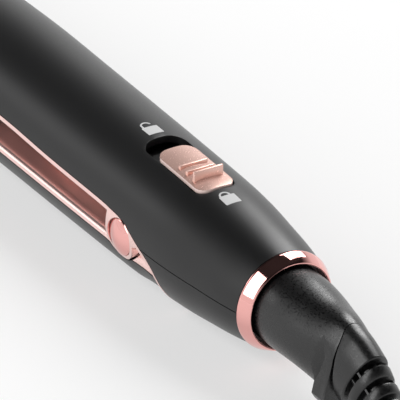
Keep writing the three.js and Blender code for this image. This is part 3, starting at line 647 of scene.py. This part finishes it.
def make_finishes(colors):
    """All finishes, by the name of the record's material slot or by their own."""
    cord_end = colors.cord_end
    grained = {"grain": 2300, "depth": 0.03, "bump": 0.6}
    fine = {"vary": 0.02, "grain": 2600}
    rows = {
        "soft_black": ("Soft-touch black", colors.body, 0.37, 0, {**fine, "vary": 0.05, "depth": 0.008}),
        # Glossier black whose lighter colour is a painted highlight, for the lock pocket's rounded edge.
        "painted_highlight_black": ("Black with painted highlight", (0.035, 0.035, 0.036), 0.25, 0, {"sheen": 0.9}),
        "textured_black": ("Grained black", cord_end, 0.33, 0, {**grained, "sheen": 0.65, "patchy": 0.3}),
        "guard_black": ("Moulded guard", cord_end, 0.34, 0, {**grained, "sheen": 0.6, "patchy": 0.25}),
        "dark_plastic": ("Plain black", (0.004, 0.004, 0.004), 0.4, 0, {"sheen": 0.25}),
        "rose_chrome": ("Rose mirror plating", colors.plating, 0.06, 1, {"vary": 0.02, "bump": 0}),
        "rose_brushed": ("Rose brushed plating", (0.93, 0.67, 0.63), 0.23, 0.88, fine),
        # Glossier rose whose lighter colour is a painted highlight, for the slider's side and rear edges.
        "painted_highlight_rose": ("Rose with painted highlight", (0.97, 0.74, 0.68), 0.25, 0.15, {"sheen": 0.9}),
        "rose_satin": (
            "Rose satin", colors.slider, 0.26, 0.6, {"vary": 0.03, "grain": 3000, "depth": 0.006},
        ),
        "steel": ("Steel", (0.6, 0.61, 0.62), 0.28, 1, {"grain": 1500}),
        "brass": ("Brass", (0.7, 0.5, 0.22), 0.3, 1, {"grain": 1500}),
        "ceramic": ("Ceramic coat", (0.12, 0.1, 0.09), 0.2, 0.3, {"vary": 0.08, "grain": 2500}),
        "heater_white": ("Ceramic element", (0.75, 0.73, 0.7), 0.55, 0, {"grain": 1500}),
        "board": ("Circuit board", (0.02, 0.16, 0.06), 0.4, 0, {"vary": 0.15, "grain": 700}),
        "capacitor_blue": ("Capacitor sleeve", (0.04, 0.1, 0.3), 0.3, 0, {}),
        "rubber": ("Rubber", (0.01, 0.01, 0.01), 0.75, 0, {"grain": 1500}),
        "lens": ("Light grey print", colors.signs, 0.5, 0, {"vary": 0.02}),
        "wire_red": ("Red insulation", (0.4, 0.03, 0.02), 0.5, 0, {}),
        "wire_grey": ("Grey insulation", (0.3, 0.31, 0.32), 0.5, 0, {}),
    }
    for slot, (name, color, roughness, metallic, rest) in rows.items():
        FINISH[slot] = make_finish(name, color, roughness, metallic, **rest)


def coat(piece, slot):
    """Give a piece the finish of a material slot."""
    piece.data.materials.clear()
    piece.data.materials.append(FINISH[slot])


def second_finish(piece, name, picked):
    """Another finish for the faces whose centre in millimetres and normal pass a test."""
    piece.data.materials.append(FINISH[name])
    for face in piece.data.polygons:
        x, y, z = face.center / MM
        if picked(x, y, z - LEVEL, face.normal):
            face.material_index = 1


def dress_nodes():
    """Every CAD node takes the finish that its record names."""
    for part in frame["record"]["subparts"]:
        coat(NODES[part["node"]], part["material_slot"])


# Property groups


def color(name, about, default):
    return FloatVectorProperty(name=name, description=about, subtype="COLOR", default=default, min=0, max=1)


def size(name, about, default):
    return FloatProperty(name=name, description=about, subtype="DISTANCE", default=default, min=0)


class StraightenerColors(bpy.types.PropertyGroup):
    """Colours that a user would change."""

    body: color("Body", "Soft-touch housing", (0.005, 0.005, 0.0054))
    cord_end: color("Cord end", "Swivel and guard", (0.0022, 0.0022, 0.0024))
    plating: color("Plating", "Trims, ring and caps", (0.88, 0.45, 0.42))
    slider: color("Slider", "Lock slider and keys", (0.86, 0.56, 0.48))
    signs: color("Signs", "Printed padlocks", (0.6, 0.6, 0.6))


class StraightenerSizes(bpy.types.PropertyGroup):
    """Sizes that the solids leave open, in metres."""

    pocket_edge: size("Pocket edge", "Rounding of the lock pocket's edge", 0.35 * MM)
    cap_dome: size("Cap dome", "Height of each pivot cap's dome", 1.5 * MM)
    plate_edge: size("Plate edge", "Rounding of the plates' long edges", 0.9 * MM)


class StraightenerStage(bpy.types.PropertyGroup):
    """Camera."""

    distance: size("Distance", "Camera to the target", 1.8)
    lens: FloatProperty(name="Lens", description="Focal length in millimetres", default=648.0, min=20)
    target: FloatVectorProperty(
        name="Target",
        description="Middle of the view",
        subtype="XYZ",
        unit="LENGTH",
        default=(0.0085, 0, 0.0262),
    )
    to_camera: FloatVectorProperty(
        name="Direction",
        description="From the target to the camera",
        subtype="DIRECTION",
        default=(0.725, -0.4765, 0.4977),
    )
    roll: FloatProperty(
        name="Roll", description="Turn about the view", subtype="ANGLE", default=math.radians(1.8)
    )


# Operators


class StageOperator(bpy.types.Operator):
    """Floor, lights, world and camera"""

    bl_idname = "straightener.stage"
    bl_label = "Stage"

    def execute(self, context):
        scene = context.scene
        scene.view_settings.view_transform = "Standard"
        settings = scene.straightener_stage
        bpy.ops.object.camera_add()
        camera = context.object
        direction = Vector(settings.to_camera).normalized()
        turn = direction.to_track_quat("Z", "Y").to_matrix() @ Matrix.Rotation(settings.roll, 3, "Z")
        place = Vector(settings.target) + direction * settings.distance
        camera.matrix_world = Matrix.Translation(place) @ turn.to_4x4()
        camera.data.lens = settings.lens
        camera.data.clip_end = 20
        scene.camera = camera
        self.floor(context)
        self.light(context)
        return {"FINISHED"}

    def floor(self, context):
        """A wide white floor. Cameras and mirrors see it half lit by itself, so its shadows stay pale."""
        bpy.ops.mesh.primitive_plane_add(size=6, location=(0, 0, 0))
        floor = context.object
        floor.name = "floor"
        material, tree, shader = new_material("White floor")
        white = tint(tree, noise(tree, 3.0), (0.96, 0.96, 0.96), (0.98, 0.98, 0.98))
        feed(tree, shader, {"Roughness": 0.9, "Specular IOR Level": 0.0, "Base Color": white})
        share = add(tree, "Math", {0: seen(tree), 1: 0.5})
        share.operation = "MULTIPLY"
        glow = add(tree, "Emission", {})
        layers = {1: shader.outputs["BSDF"], 2: glow.outputs["Emission"]}
        mix = add(tree, "MixShader", {"Fac": share.outputs["Value"], **layers})
        feed(tree, tree.nodes["Material Output"], {"Surface": mix.outputs["Shader"]})
        floor.data.materials.append(material)

    def light(self, context):
        """A soft box on each side, which the plating mirrors, and a world that is pale near the horizon."""
        boxes = [
            ("Back box", (-0.45, 0.87, 1.0), 0.65, 0.9, 15.4),
            ("Left box", (0.05, -1.05, 0.74), 0.75, 1.15, 9.5),
            ("Low box", (-0.94, -0.7, 0.52), 0.42, 0.36, 0.7),
        ]
        for name, place, width, height, power in boxes:
            bpy.ops.object.light_add(type="AREA", location=place)
            lamp = context.object
            lamp.name = name
            lamp.data.shape = "RECTANGLE"
            lamp.data.size = width
            lamp.data.size_y = height
            lamp.data.energy = power
            lamp.rotation_euler = (Vector(place) - Vector((0, 0, 0.02))).to_track_quat("Z", "Y").to_euler()
        world = bpy.data.worlds.new("Studio") if context.scene.world is None else context.scene.world
        context.scene.world = world
        world.use_nodes = True
        tree = world.node_tree
        where = add(tree, "TexCoord", {}).outputs["Generated"]
        height = add(tree, "SeparateXYZ", {"Vector": where}).outputs["Z"]
        ramp = add(tree, "ValToRGB", {"Fac": height})
        tones = ramp.color_ramp.elements
        for spot, tone in ((0.0, 1.0), (0.3, 0.85), (0.5, 0.25), (0.62, 0.01)):
            element = tones[0] if spot == 0 else tones.new(spot)
            element.color = (tone, tone, tone, 1)
        tones[-1].color = (0.03, 0.03, 0.03, 1)
        feed(tree, tree.nodes["Background"], {"Color": ramp.outputs["Color"]})


class FinishOperator(bpy.types.Operator):
    """Finishes for all CAD nodes"""

    bl_idname = "straightener.finish"
    bl_label = "Finishes"

    def execute(self, context):
        make_finishes(context.scene.straightener_colors)
        dress_nodes()
        return {"FINISHED"}


class HousingOperator(bpy.types.Operator):
    """Upper shell with its lock pocket, and the rear cover"""

    bl_idname = "straightener.housing"
    bl_label = "Housing"

    def execute(self, context):
        body = grow("body", ovals(BODY))
        combine(body, flat_floor())
        self.shell(copy_of(body, "shell"), context.scene.straightener_sizes.pocket_edge / MM)
        self.cover(body)
        return {"FINISHED"}

    def shell(self, shell, edge):
        side = [(TIP_X - 10, PLATE_EDGE)] + handle_line[:-1]
        side += [(8.7, SEAM), (REAR, SEAM), (REAR, FAR), (TIP_X - 10, FAR)]
        combine(shell, slab("upper_side", side), "INTERSECT")
        combine(shell, hollow(BODY, WALL, -203, BODY_END - WALL))
        combine(shell, pad("pocket", POCKET, 8, 40))
        soften(shell, edge, self.at_rim, angle=40)
        combine(shell, tail_room())
        settle(shell, 32, "upper_housing", "main_body", "soft_black", "upper_shell")
        # The pocket's rounded edge takes a lighter, glossier black: the lighter colour is a painted
        # highlight.
        second_finish(shell, "painted_highlight_black", self.on_rim)

    def at_rim(self, x, y, z):
        """Whether a point is on the pocket's upper edge."""
        x0, x1, half, _ = POCKET
        inside = x0 - 0.1 < x < x1 + 0.1 and abs(y) < half + 0.1
        _, a, top = at(FORM, x)
        return inside and z > top * math.sqrt(max(0, 1 - (y / a) ** 2)) - 0.15

    def on_rim(self, x, y, z, up):
        """Whether a face is on the pocket's rounded edge, which gets a lighter black as a painted
        highlight.
        """
        return 0.1 < up.z < 0.9 and self.at_rim(x, y, z + 0.3)

    def cover(self, cover):
        side = [(8.9, -SEAM)] + [row for row in v_line if row[1] < -SEAM - 0.05]
        side += [(side[-1][0], -30), (REAR, -30), (REAR, -SEAM)]
        combine(cover, slab("rear_side", side), "INTERSECT")
        combine(cover, hollow(BODY, WALL, 19.5, BODY_END - WALL))
        combine(cover, hollow(BODY, 0.6, 5, 21.5))
        combine(cover, post("screw_well", SCREW_X, 0, 2.9, -20, -13))
        settle(cover, 32, "rear_housing", "main_body", "soft_black", "rear_cover")


class LowerArmOperator(bpy.types.Operator):
    """Lower shell"""

    bl_idname = "straightener.lower_arm"
    bl_label = "Lower arm"

    def execute(self, context):
        shell = grow("lower", ovals(LOWER))
        combine(shell, flat_floor())
        combine(shell, slab("side", lower_side(0)), "INTERSECT")
        combine(shell, hollow(LOWER, WALL, -203, TAIL_END - WALL))
        combine(shell, rod("ear_room", PIN_X, PIN_Z, EAR_R + EAR_GAP, -SIDE, SIDE))
        settle(shell, 32, "lower_housing", "lower_arm", "soft_black", "lower_shell")
        return {"FINISHED"}


class TrimOperator(bpy.types.Operator):
    """Chrome trims beside the handle gap, with the hinge's ears and barrel"""

    bl_idname = "straightener.trims"
    bl_label = "Trims"

    def execute(self, context):
        self.upper()
        self.lower()
        return {"FINISHED"}

    def upper(self):
        line = [(TRIM_FRONT, HANDLE_GAP - 1.9)] + [row for row in EDGE if row[0] > -80]
        band = slab("band", shifted(line, 0.2) + shifted(line, TRIM)[::-1])
        body = grow("skin", ovals(BODY, -0.04, -100, 30))
        combine(body, flat_floor())
        combine(band, body, "INTERSECT", keep=True)
        reach = BARREL_HALF + 0.2
        combine(band, rod("barrel_room", PIN_X, PIN_Z, BARREL_R + 0.5, -reach, reach))
        combine(band, tail_room())
        for side in (-1, 1):
            self.ear(band, body, side)
        bpy.data.objects.remove(body, do_unlink=True)
        combine(band, rod("pin_room", PIN_X, PIN_Z, PIN_ROOM, -SIDE, SIDE, 32))
        settle(band, 30, "upper_rail", "main_body", "rose_chrome", "upper_trim")
        band.data.materials[0] = FINISH["rose_brushed"]
        self.face(line)

    def face(self, line):
        """The unpolished face of the upper trim, which looks down into the handle gap."""
        inside = [row for row in line if row[0] < PIN_X - EAR_R - 1]
        face = slab("face", shifted(inside, 0.02) + shifted(inside, 0.3)[::-1])
        combine(face, grow("face_room", ovals(BODY, 0.9, -100, 30)), "INTERSECT")
        settle(face, 30, "upper_face", "main_body", "rose_satin")

    def ear(self, band, body, side):
        """A cheek beside the hinge, with a round recess for the cap."""
        turns = [math.radians(180 + 180 * i / 32) for i in range(33)]
        outline = [(PIN_X - EAR_R, 4.3)]
        outline += [(PIN_X + EAR_R * math.cos(t), PIN_Z + EAR_R * math.sin(t)) for t in turns]
        outline += [(7.2, -0.2), (3, 2.1), (-1, 3.75)]
        cheek = slab("ear", outline, *outer_span(side, EAR_IN))
        combine(cheek, body, "INTERSECT", keep=True)
        combine(band, cheek, "UNION")
        combine(band, rod("cap_room", PIN_X, PIN_Z, CAP_R + 0.25, *outer_span(side, 16.3)))

    def lower(self):
        rows = [tuple(at(BODY, TRIM_FRONT))] + [row for row in LOWER if row[0] > TRIM_FRONT + 1]
        crown = self.crown(rows)
        combine(crown, slab("top", lower_side(-CROWN - TAIL_SINK - 1, 0.4)), "INTERSECT")
        inner = hollow(LOWER, WALL + 0.15, TRIM_FRONT - 4, 14)
        combine(inner, slab("floor_side", lower_side(-0.9, 0.4)), "INTERSECT")
        combine(inner, slab("floor_cut", lower_side(TRIM_FLOOR)))
        combine(inner, slab("front_cut", oblong(TRIM_FRONT - 20, TRIM_FRONT, -20, 20)))
        combine(crown, inner, "UNION")
        combine(crown, rod("barrel", PIN_X, PIN_Z, BARREL_R, -BARREL_HALF, BARREL_HALF), "UNION")
        web = oblong(PIN_X - 3.2, PIN_X + 3.2, -6, PIN_Z)
        combine(crown, slab("web", web, 0.3 - BARREL_HALF, BARREL_HALF - 0.3), "UNION")
        for side in (-1, 1):
            combine(crown, rod("ear_room", PIN_X, PIN_Z, EAR_R + EAR_GAP, *outer_span(side, EAR_IN - 0.3)))
        combine(crown, rod("pin_room", PIN_X, PIN_Z, PIN_ROOM, -SIDE, SIDE, 32))
        combine(crown, pad("panel_hole", around(PANEL, KEY_GAP, 3), -12, 5))
        combine(crown, pad("spring_room", (-9, 9, 4.4, 0.5), -12, 12, 2))
        settle(crown, 30, "lower_rail", "lower_arm", "rose_chrome", "lower_trim")
        crown.data.materials[0] = FINISH["rose_brushed"]

    def crown(self, rows):
        """The face's cross-section, extruded and resized from row to row."""
        fillet = [math.radians(9 * i) for i in range(11)]
        piece = None
        before = None
        for x, a, b in rows:
            edge = lower_edge_at(x)
            sink = min(max((x + 8) / 11, 0), 1) * TAIL_SINK
            rise = CROWN * min(max((x + 84) / 16, 0.15), 1, 1 - max(0, x - 2) * 0.036) + sink
            half = a * math.sqrt(1 - (edge / b) ** 2) - 0.1
            if piece is None:
                tall = rise - 0.15
                ring = [(half - TRIM_FILLET * (1 - math.cos(t)), math.sin(t) * tall) for t in fillet]
                outline = [point(x, y, edge + 0.15 + z) for y, z in ring]
                outline += [Vector((p.x, -p.y, p.z)) for p in reversed(outline)]
                piece = draw_flat("crown", outline)
            else:
                wide = half / before[2]
                tall = (rise - 0.15) / (before[3] - 0.15)
                push = (MM * (x - before[0]), 0, MM * (edge - before[1]))
                bpy.ops.mesh.extrude_region_move(TRANSFORM_OT_translate={"value": push})
                bpy.ops.transform.resize(value=(1, wide, tall), center_override=point(x, 0, edge + 0.15))
            before = (x, edge, half, rise)
        return close_up(piece)


class CapOperator(bpy.types.Operator):
    """Domed caps over the hinge pin"""

    bl_idname = "straightener.caps"
    bl_label = "Pivot caps"

    def execute(self, context):
        for side, name in SIDES:
            away()
            turn = (-side * math.pi / 2, 0, 0)
            place = point(PIN_X, side * CAP_BASE, PIN_Z)
            bpy.ops.mesh.primitive_circle_add(
                vertices=72, radius=CAP_R * MM, fill_type="NGON", location=place, rotation=turn
            )
            cap = context.object
            bpy.ops.object.transform_apply()
            edit(cap)
            radius, height = CAP_R, 0.0
            for new_radius, new_height in self.dome(context.scene.straightener_sizes.cap_dome / MM):
                push = (0, side * (new_height - height) * MM, 0)
                bpy.ops.mesh.extrude_region_move(TRANSFORM_OT_translate={"value": push})
                share = new_radius / radius
                centre = point(PIN_X, side * (CAP_BASE + new_height), PIN_Z)
                bpy.ops.transform.resize(value=(share, 1, share), center_override=centre)
                radius, height = new_radius, new_height
            close_up(cap)
            settle(cap, 40, "hinge_cap_" + name, "main_body", "rose_chrome", "pivot_cap_" + name)
        return {"FINISHED"}

    def dome(self, rise):
        """Radius and height of each ring, from a short rim to a full dome."""
        rim, start, count = CAP_R - 0.05, 0.85, 15
        rows = [(CAP_R, start - 0.1), (rim, start)]
        for i in range(1, count):
            share = 1 - i / count
            rows.append((rim * share, start + rise * (1 - share * share)))
        return rows


class LockOperator(bpy.types.Operator):
    """Lock slider with its ribs, and the printed padlocks"""

    bl_idname = "straightener.lock"
    bl_label = "Lock"

    def execute(self, context):
        slider = pad("slider", SLIDER, 12, 30, 12)
        crown = grow("crown", [(x, a + 3, b + SLIDER_PROUD, 0) for x, a, b in BODY if -20 < x < 32])
        combine(slider, crown, "INTERSECT")
        under = [(x, at(FORM, x)[2] - 1.3) for x in steps(-12, 26, 3)]
        combine(slider, slab("under", under + [(26, 5), (-12, 5)]))
        bevel(slider, 0.6, 5)
        for x, high, span in RIBS:
            combine(slider, self.rib(x, high, span), "UNION")
        combine(slider, pad("stem", (3.6, 13.2, 1.2, 1.1), 10.6, 16.6), "UNION")
        settle(slider, 42, "slider", "lock", "rose_satin", "lock_slider")
        # The slider's side and rear edges take a lighter, glossier rose: the lighter colour is a painted
        # highlight.
        second_finish(slider, "painted_highlight_rose", self.at_rim)
        self.padlock("open", -16.7, 0.5)
        self.padlock("closed", 20.7, -0.25)
        return {"FINISHED"}

    def at_rim(self, x, y, z, up):
        """Whether a face is on the slider's side edges or rear edge, which take a painted highlight."""
        return up.z < 0.9 and (abs(y) > SLIDER[2] - 0.8 or x > SLIDER[1] - 1.5)

    def rib(self, x, high, span):
        """A rounded bar across the slider."""
        top = at(FORM, x)[2] + SLIDER_PROUD + high
        away()
        bpy.ops.mesh.primitive_cube_add(size=1, location=point(x, 0, (top + 16) / 2))
        bar = bpy.context.object
        edit(bar)
        bpy.ops.transform.resize(value=(1.1 * MM, 2 * span * MM, (top - 16) * MM))
        bpy.ops.mesh.select_all(action="DESELECT")
        mesh = bmesh.from_edit_mesh(bar.data)
        for face in mesh.faces:
            face.select_set(face.normal.z > 0.9)
        bmesh.update_edit_mesh(bar.data)
        bpy.ops.transform.resize(value=(0.75, 0.985, 1))
        bpy.ops.mesh.select_all(action="SELECT")
        bpy.ops.mesh.bevel(offset=0.28 * MM, segments=3, affect="EDGES")
        bpy.ops.object.mode_set(mode="OBJECT")
        bpy.ops.object.transform_apply()
        return bar

    def padlock(self, name, x, y):
        """A thin raised print: a body, and a shackle towards the plates, which stands open or closed."""
        is_open = name == "open"
        plan = [(u, y + v) for u, v in rounded(x, x + 3.75, 2.2, 0.2, 3)]
        body = column("lock_body", plan, 10, 30)
        lift = 0.85 if is_open else 0.1
        end = 170 if is_open else 180
        turns = [math.radians(end * i / 20) for i in range(21)]
        rows = []
        for radius, order in ((1.55, 1), (1.05, -1)):
            arc = [(x - lift - 0.95 * radius * math.sin(t), y - 0.35 - radius * math.cos(t)) for t in turns]
            leg = [(x + 0.3, y - 0.35 - radius)]
            other = [] if is_open else [(x + 0.3, y - 0.35 + radius)]
            rows += (leg + arc + other)[::order]
        combine(body, column("shackle", rows, 10, 30), "UNION")
        combine(body, grow("over", ovals(BODY, -0.05, x - 12, x + 14), 180), "INTERSECT")
        combine(body, grow("below", ovals(BODY, 0.1, x - 12, x + 14), 180))
        settle(body, 40, "sign_" + name, "main_body", "lens")


class RingOperator(bpy.types.Operator):
    """Chrome ring at the cord end"""

    bl_idname = "straightener.ring"
    bl_label = "Ring"

    def execute(self, context):
        ring = grow("ring", [(RING_X + u, r, r, 0) for u, r in RING], 128)
        bore = [(RING_X - 3, 11.65, 11.65, 0), (RING_X + 6, 11.65, 11.65, 0)]
        combine(ring, grow("ring_bore", bore, 128))
        settle(ring, 25, "cord_end_ring", "main_body", "rose_chrome", "ring_collar")
        return {"FINISHED"}


class SwivelOperator(bpy.types.Operator):
    """Swivel socket that runs out into a fork"""

    bl_idname = "straightener.swivel"
    bl_label = "Swivel"

    def execute(self, context):
        front = [(RING_X + u, z) for u, z in FORK_FRONT]
        rear = [(RING_X + u, z) for u, z, _ in FORK_REAR]
        socket = grow("socket", deep(SOCKET))
        ahead = [(RING_X - 1, PEAK), (RING_X + 29, PEAK)] + rear + [(RING_X + 30, -20), (RING_X - 1, -20)]
        cheeks = grow("cheeks", deep(FORK))
        behind = [(x + 1, z) for x, z in rear[::-1]]
        combine(cheeks, slab("sides", front + behind, -8, 8), "INTERSECT")
        combine(cheeks, slab("over", oblong(RING_X, REAR, -3, 20)))
        combine(socket, cheeks, "UNION")
        combine(socket, slab("ahead", ahead), "INTERSECT")
        for side in (-1, 1):
            combine(socket, self.flank(side))
        soften(socket, 0.3, near_line(rear), 2)
        x, z = FORK_PIN
        combine(socket, rod("slot_end", x, z, 6.1, -SLOT_HALF, SLOT_HALF))
        combine(socket, slab("slot", oblong(x, x + 12, z - 5.4, z + 4.6), -SLOT_HALF, SLOT_HALF))
        stem = [(RING_X - 14, 4.7, 4.7, 0), (RING_X + 3, 4.7, 4.7, 0)]
        combine(socket, grow("stem", stem, 48), "UNION")
        settle(socket, 28, "swivel_body", "swivel", "textured_black", "swivel_socket")
        return {"FINISHED"}

    def flank(self, side):
        """What a flat side takes off. It leans in at the top, and runs out on the tube in front."""
        outline = []
        for u, z in FORK_FRONT + [(24.6, -40), (90, -40), (90, 9)]:
            flat = FORK_HALF - 0.08 * (z + 8)
            _, a, up, down = at(SOCKET, min(u, 33))
            share = (z - (up - down) / 2) / ((up + down) / 2)
            proud = a * math.sqrt(max(0, 1 - share * share)) - flat
            outline.append(point(RING_X + u - 0.1 + 1.5 * min(max(0, proud), 4), side * flat, z))
        return draw_out("flank", outline, Vector((-45 * MM, side * 30 * MM, 0)))


class GuardOperator(bpy.types.Operator):
    """Finned cord guard"""

    bl_idname = "straightener.guard"
    bl_label = "Cord guard"

    def execute(self, context):
        guard = grow("guard", self.rings(), 80)
        x, z = FORK_PIN
        front = [(RING_X + 29, PEAK)] + [(RING_X + u + gap, v) for u, v, gap in FORK_REAR]
        combine(guard, slab("front", front + [(REAR, -30), (REAR, 30)]), "INTERSECT")
        soften(guard, 0.4, near_line(front))
        combine(guard, rod("tongue", x, z, 4.5, -TONGUE_HALF, TONGUE_HALF), "UNION")
        neck = oblong(x, RING_X + 34.5, z - 3.2, z + 3.4)
        combine(guard, slab("neck", neck, -TONGUE_HALF, TONGUE_HALF), "UNION")
        for groove, turn in WEBS:
            for side in (-1, 1):
                combine(guard, self.web(groove, turn, side), "UNION")
        end_x, end_z, _ = guard_point(GUARD_LENGTH)
        combine(guard, grow("bore", [(end_x - 3, 2.7, 2.7, end_z), (end_x + 4, 2.7, 2.7, end_z)], 48))
        settle(guard, 40, "guard_body", "guard", "guard_black", "cord_guard")
        return {"FINISHED"}

    def rings(self):
        """Stations of the skin, which sinks into a groove behind each fin."""
        rows = [(s, 0, 0) for s in steps(-5, 8, 1)]
        for i in range(FIN_COUNT + 1):
            rear = FIN_FIRST + i * FIN_PITCH
            rows += [(rear + past, less, share) for past, less, share in GROOVE]
        rows += [(GUARD_LENGTH - 0.8, 0, 0), (GUARD_LENGTH - 0.25, 0.25, 0), (GUARD_LENGTH, 0.7, 0)]
        rings = []
        for s, less, share in rows:
            a, high, low, groove = guard_size(s)
            b = (high + low) / 2 - less - share * groove * 1.25
            x, z, angle = guard_point(s)
            rise = (high - low) / 2
            x += rise * math.sin(angle)
            rings.append((x, a - less - share * groove, b, z + rise * math.cos(angle), angle))
        return rings

    def web(self, groove, turn, side):
        """A small rib that ties two fins together."""
        s = FIN_FIRST + groove * FIN_PITCH + FIN_GROOVE / 2
        x, z, angle = guard_point(s)
        a, high, _, _ = guard_size(s)
        up = 0.82 * high * math.sin(math.radians(turn))
        across = side * 0.82 * a * math.cos(math.radians(turn))
        centre = point(x + up * math.sin(angle), across, z + up * math.cos(angle))
        away()
        bpy.ops.mesh.primitive_cube_add(size=1, location=centre)
        piece = bpy.context.object
        edit(piece)
        bpy.ops.transform.resize(value=((FIN_GROOVE + 1.2) * MM, 1.5 * MM, 0.7 * MM))
        bpy.ops.mesh.bevel(offset=0.15 * MM, segments=2, affect="EDGES")
        roll = -side * math.radians(90 - turn)
        bpy.ops.transform.rotate(value=roll, orient_axis="X", center_override=centre)
        lean(angle, centre)
        bpy.ops.object.mode_set(mode="OBJECT")
        bpy.ops.object.transform_apply()
        return piece


class KeysOperator(bpy.types.Operator):
    """Key panel in the lower arm, with three keys, their signs and the lamp's lens"""

    bl_idname = "straightener.keys"
    bl_label = "Keys"

    def execute(self, context):
        top = PANEL[3]
        panel = pad("panel", (*PANEL[:3], 2.7), -6.2, top)
        for name, x, width in KEYS:
            key = (x - width, x + width, KEY_HALF)
            combine(panel, pad("key_hole", around(key, KEY_GAP, 1.8), -8, 0))
        combine(panel, pad("lens_hole", around(LENS, KEY_GAP, 0.7), -8, 0, 5))
        bevel(panel, 0.3, 3)
        settle(panel, 40, "key_panel", "lower_arm", "dark_plastic", "control_panel")
        lens = pad("lens", LENS, -6, top, 5)
        bevel(lens, 0.15, 2)
        settle(lens, 40, "lamp_lens", "lower_arm", "lens", "indicator_lens")
        for name, x, width in KEYS:
            self.key(name, x, width, top + 0.8)
        return {"FINISHED"}

    def key(self, name, x, width, top):
        key = pad("key", (x - width, x + width, KEY_HALF, 1.5), -4.2, top)
        bevel(key, 0.35, 4)
        combine(key, post("stem", x, 0, 1.2, -6.7, -4), "UNION")
        sign = self.sign(name, x, top)
        combine(key, copy_of(sign, "sunk"))
        settle(key, 40, name + "_key_cap", name + "_key", "rose_satin", name + "_button")
        settle(sign, 40, name + "_sign", name + "_key", "dark_plastic")

    def sign(self, name, x, top):
        """A sign set into the key's face."""
        low, high = top - 0.15, top - 0.02
        bar = pad("bar", (x - 0.22, x + 0.22, 1.3, 0.2), low, high, 3)
        if name == "plus":
            cross = pad("cross", (x - 1.3, x + 1.3, 0.22, 0.2), low, high, 3)
            return combine(bar, cross, "UNION")
        if name == "minus":
            return bar
        ring = post("ring", x, 0, 1.7, low, high)
        combine(ring, post("inside", x, 0, 1.3, low - 1, high + 1))
        combine(ring, pad("opening", (x - 2.2, x, 0.65, 0.1), low - 1, high + 1, 2))
        mark = pad("mark", (x - 2, x - 0.3, 0.2, 0.15), low, high, 3)
        bpy.data.objects.remove(bar, do_unlink=True)
        return combine(ring, mark, "UNION")


class PlatesOperator(bpy.types.Operator):
    """Heated plates with rounded long edges"""

    bl_idname = "straightener.plates"
    bl_label = "Plates"

    def execute(self, context):
        edge = context.scene.straightener_sizes.plate_edge / MM
        for sign, body, node in ((1, "main_body", "upper_plate"), (-1, "floating_plate", "lower_plate")):
            low, high = sorted((sign * PLATE_GAP, sign * (PLATE_GAP + PLATE_THICK)))
            plate = pad("plate", (*PLATE, 0.4), low, high, 3)
            face = low if sign > 0 else high
            soften(plate, edge, lambda x, y, z: abs(z - face) < 0.01, 5)
            settle(plate, 40, node + "_face", body, "ceramic", node)
        return {"FINISHED"}


class SmallOperator(bpy.types.Operator):
    """Slider bed, cover screw and stop pads"""

    bl_idname = "straightener.small"
    bl_label = "Bed, screw and stops"

    def execute(self, context):
        self.bed()
        self.screw()
        for side, name in SIDES:
            stop = post("stop", -12.5, side * 13.4, 1.4, 2.2, 3.5)
            soften(stop, 0.3, lambda x, y, z: z < 2.3)
            settle(stop, 40, "stop_" + name, "main_body", "rubber", "stop_pad_" + name)
        return {"FINISHED"}

    def bed(self):
        bed = pad("bed", (POCKET[0] - 2, POCKET[1] + 2, 7.6, 3), 11.6, 14)
        combine(bed, grow("inside", ovals(BODY, WALL + 0.3, -30, 40)), "INTERSECT")
        step = pad("step", (-8.4, 14, 4.2, 1.5), 13.5, 14.6)
        combine(step, grow("under", ovals(BODY, 0.8, -30, 40)), "INTERSECT")
        combine(bed, step, "UNION")
        combine(bed, pad("slot", (-2.6, 14.4, 1.6, 1.5), 10, 16))
        settle(bed, 40, "lock_bed", "main_body", "dark_plastic", "slider_bed")

    def screw(self):
        screw = post("screw", SCREW_X, 0, 2.6, -15.8, -13.3)
        soften(screw, 0.4, lambda x, y, z: z < -15.7)
        combine(screw, post("shank", SCREW_X, 0, 1, -13.6, 9.4, 24), "UNION")
        for a, b in ((1.8, 0.35), (0.35, 1.8)):
            combine(screw, column("drive", oblong(SCREW_X - a, SCREW_X + a, -b, b), -17, -15))
        settle(screw, 40, "closing_screw", "main_body", "steel", "cover_screw")


class StraightenerPanel(bpy.types.Panel):
    """Lists the steps of the build"""

    bl_label = "Straightener"
    bl_idname = "VIEW3D_PT_straightener"
    bl_space_type = "VIEW_3D"
    bl_region_type = "UI"
    bl_category = "Straightener"

    def draw(self, context):
        for step in STEPS:
            self.layout.operator(step.bl_idname)


GROUPS = {
    "straightener_colors": StraightenerColors,
    "straightener_sizes": StraightenerSizes,
    "straightener_stage": StraightenerStage,
}
STEPS = [
    StageOperator, FinishOperator, HousingOperator, LowerArmOperator, TrimOperator, CapOperator,
    LockOperator, RingOperator, SwivelOperator, GuardOperator, KeysOperator, PlatesOperator,
    SmallOperator,
]


def register():
    for item in [*GROUPS.values(), *STEPS, StraightenerPanel]:
        bpy.utils.register_class(item)
    for name, group in GROUPS.items():
        setattr(bpy.types.Scene, name, PointerProperty(type=group))


def unregister():
    for name in GROUPS:
        delattr(bpy.types.Scene, name)
    for item in reversed([*GROUPS.values(), *STEPS, StraightenerPanel]):
        bpy.utils.unregister_class(item)


def main():
    register()
    for step in STEPS:
        group, name = step.bl_idname.split(".")
        getattr(getattr(bpy.ops, group), name)()
    away()


if __name__ == "__main__":
    main()
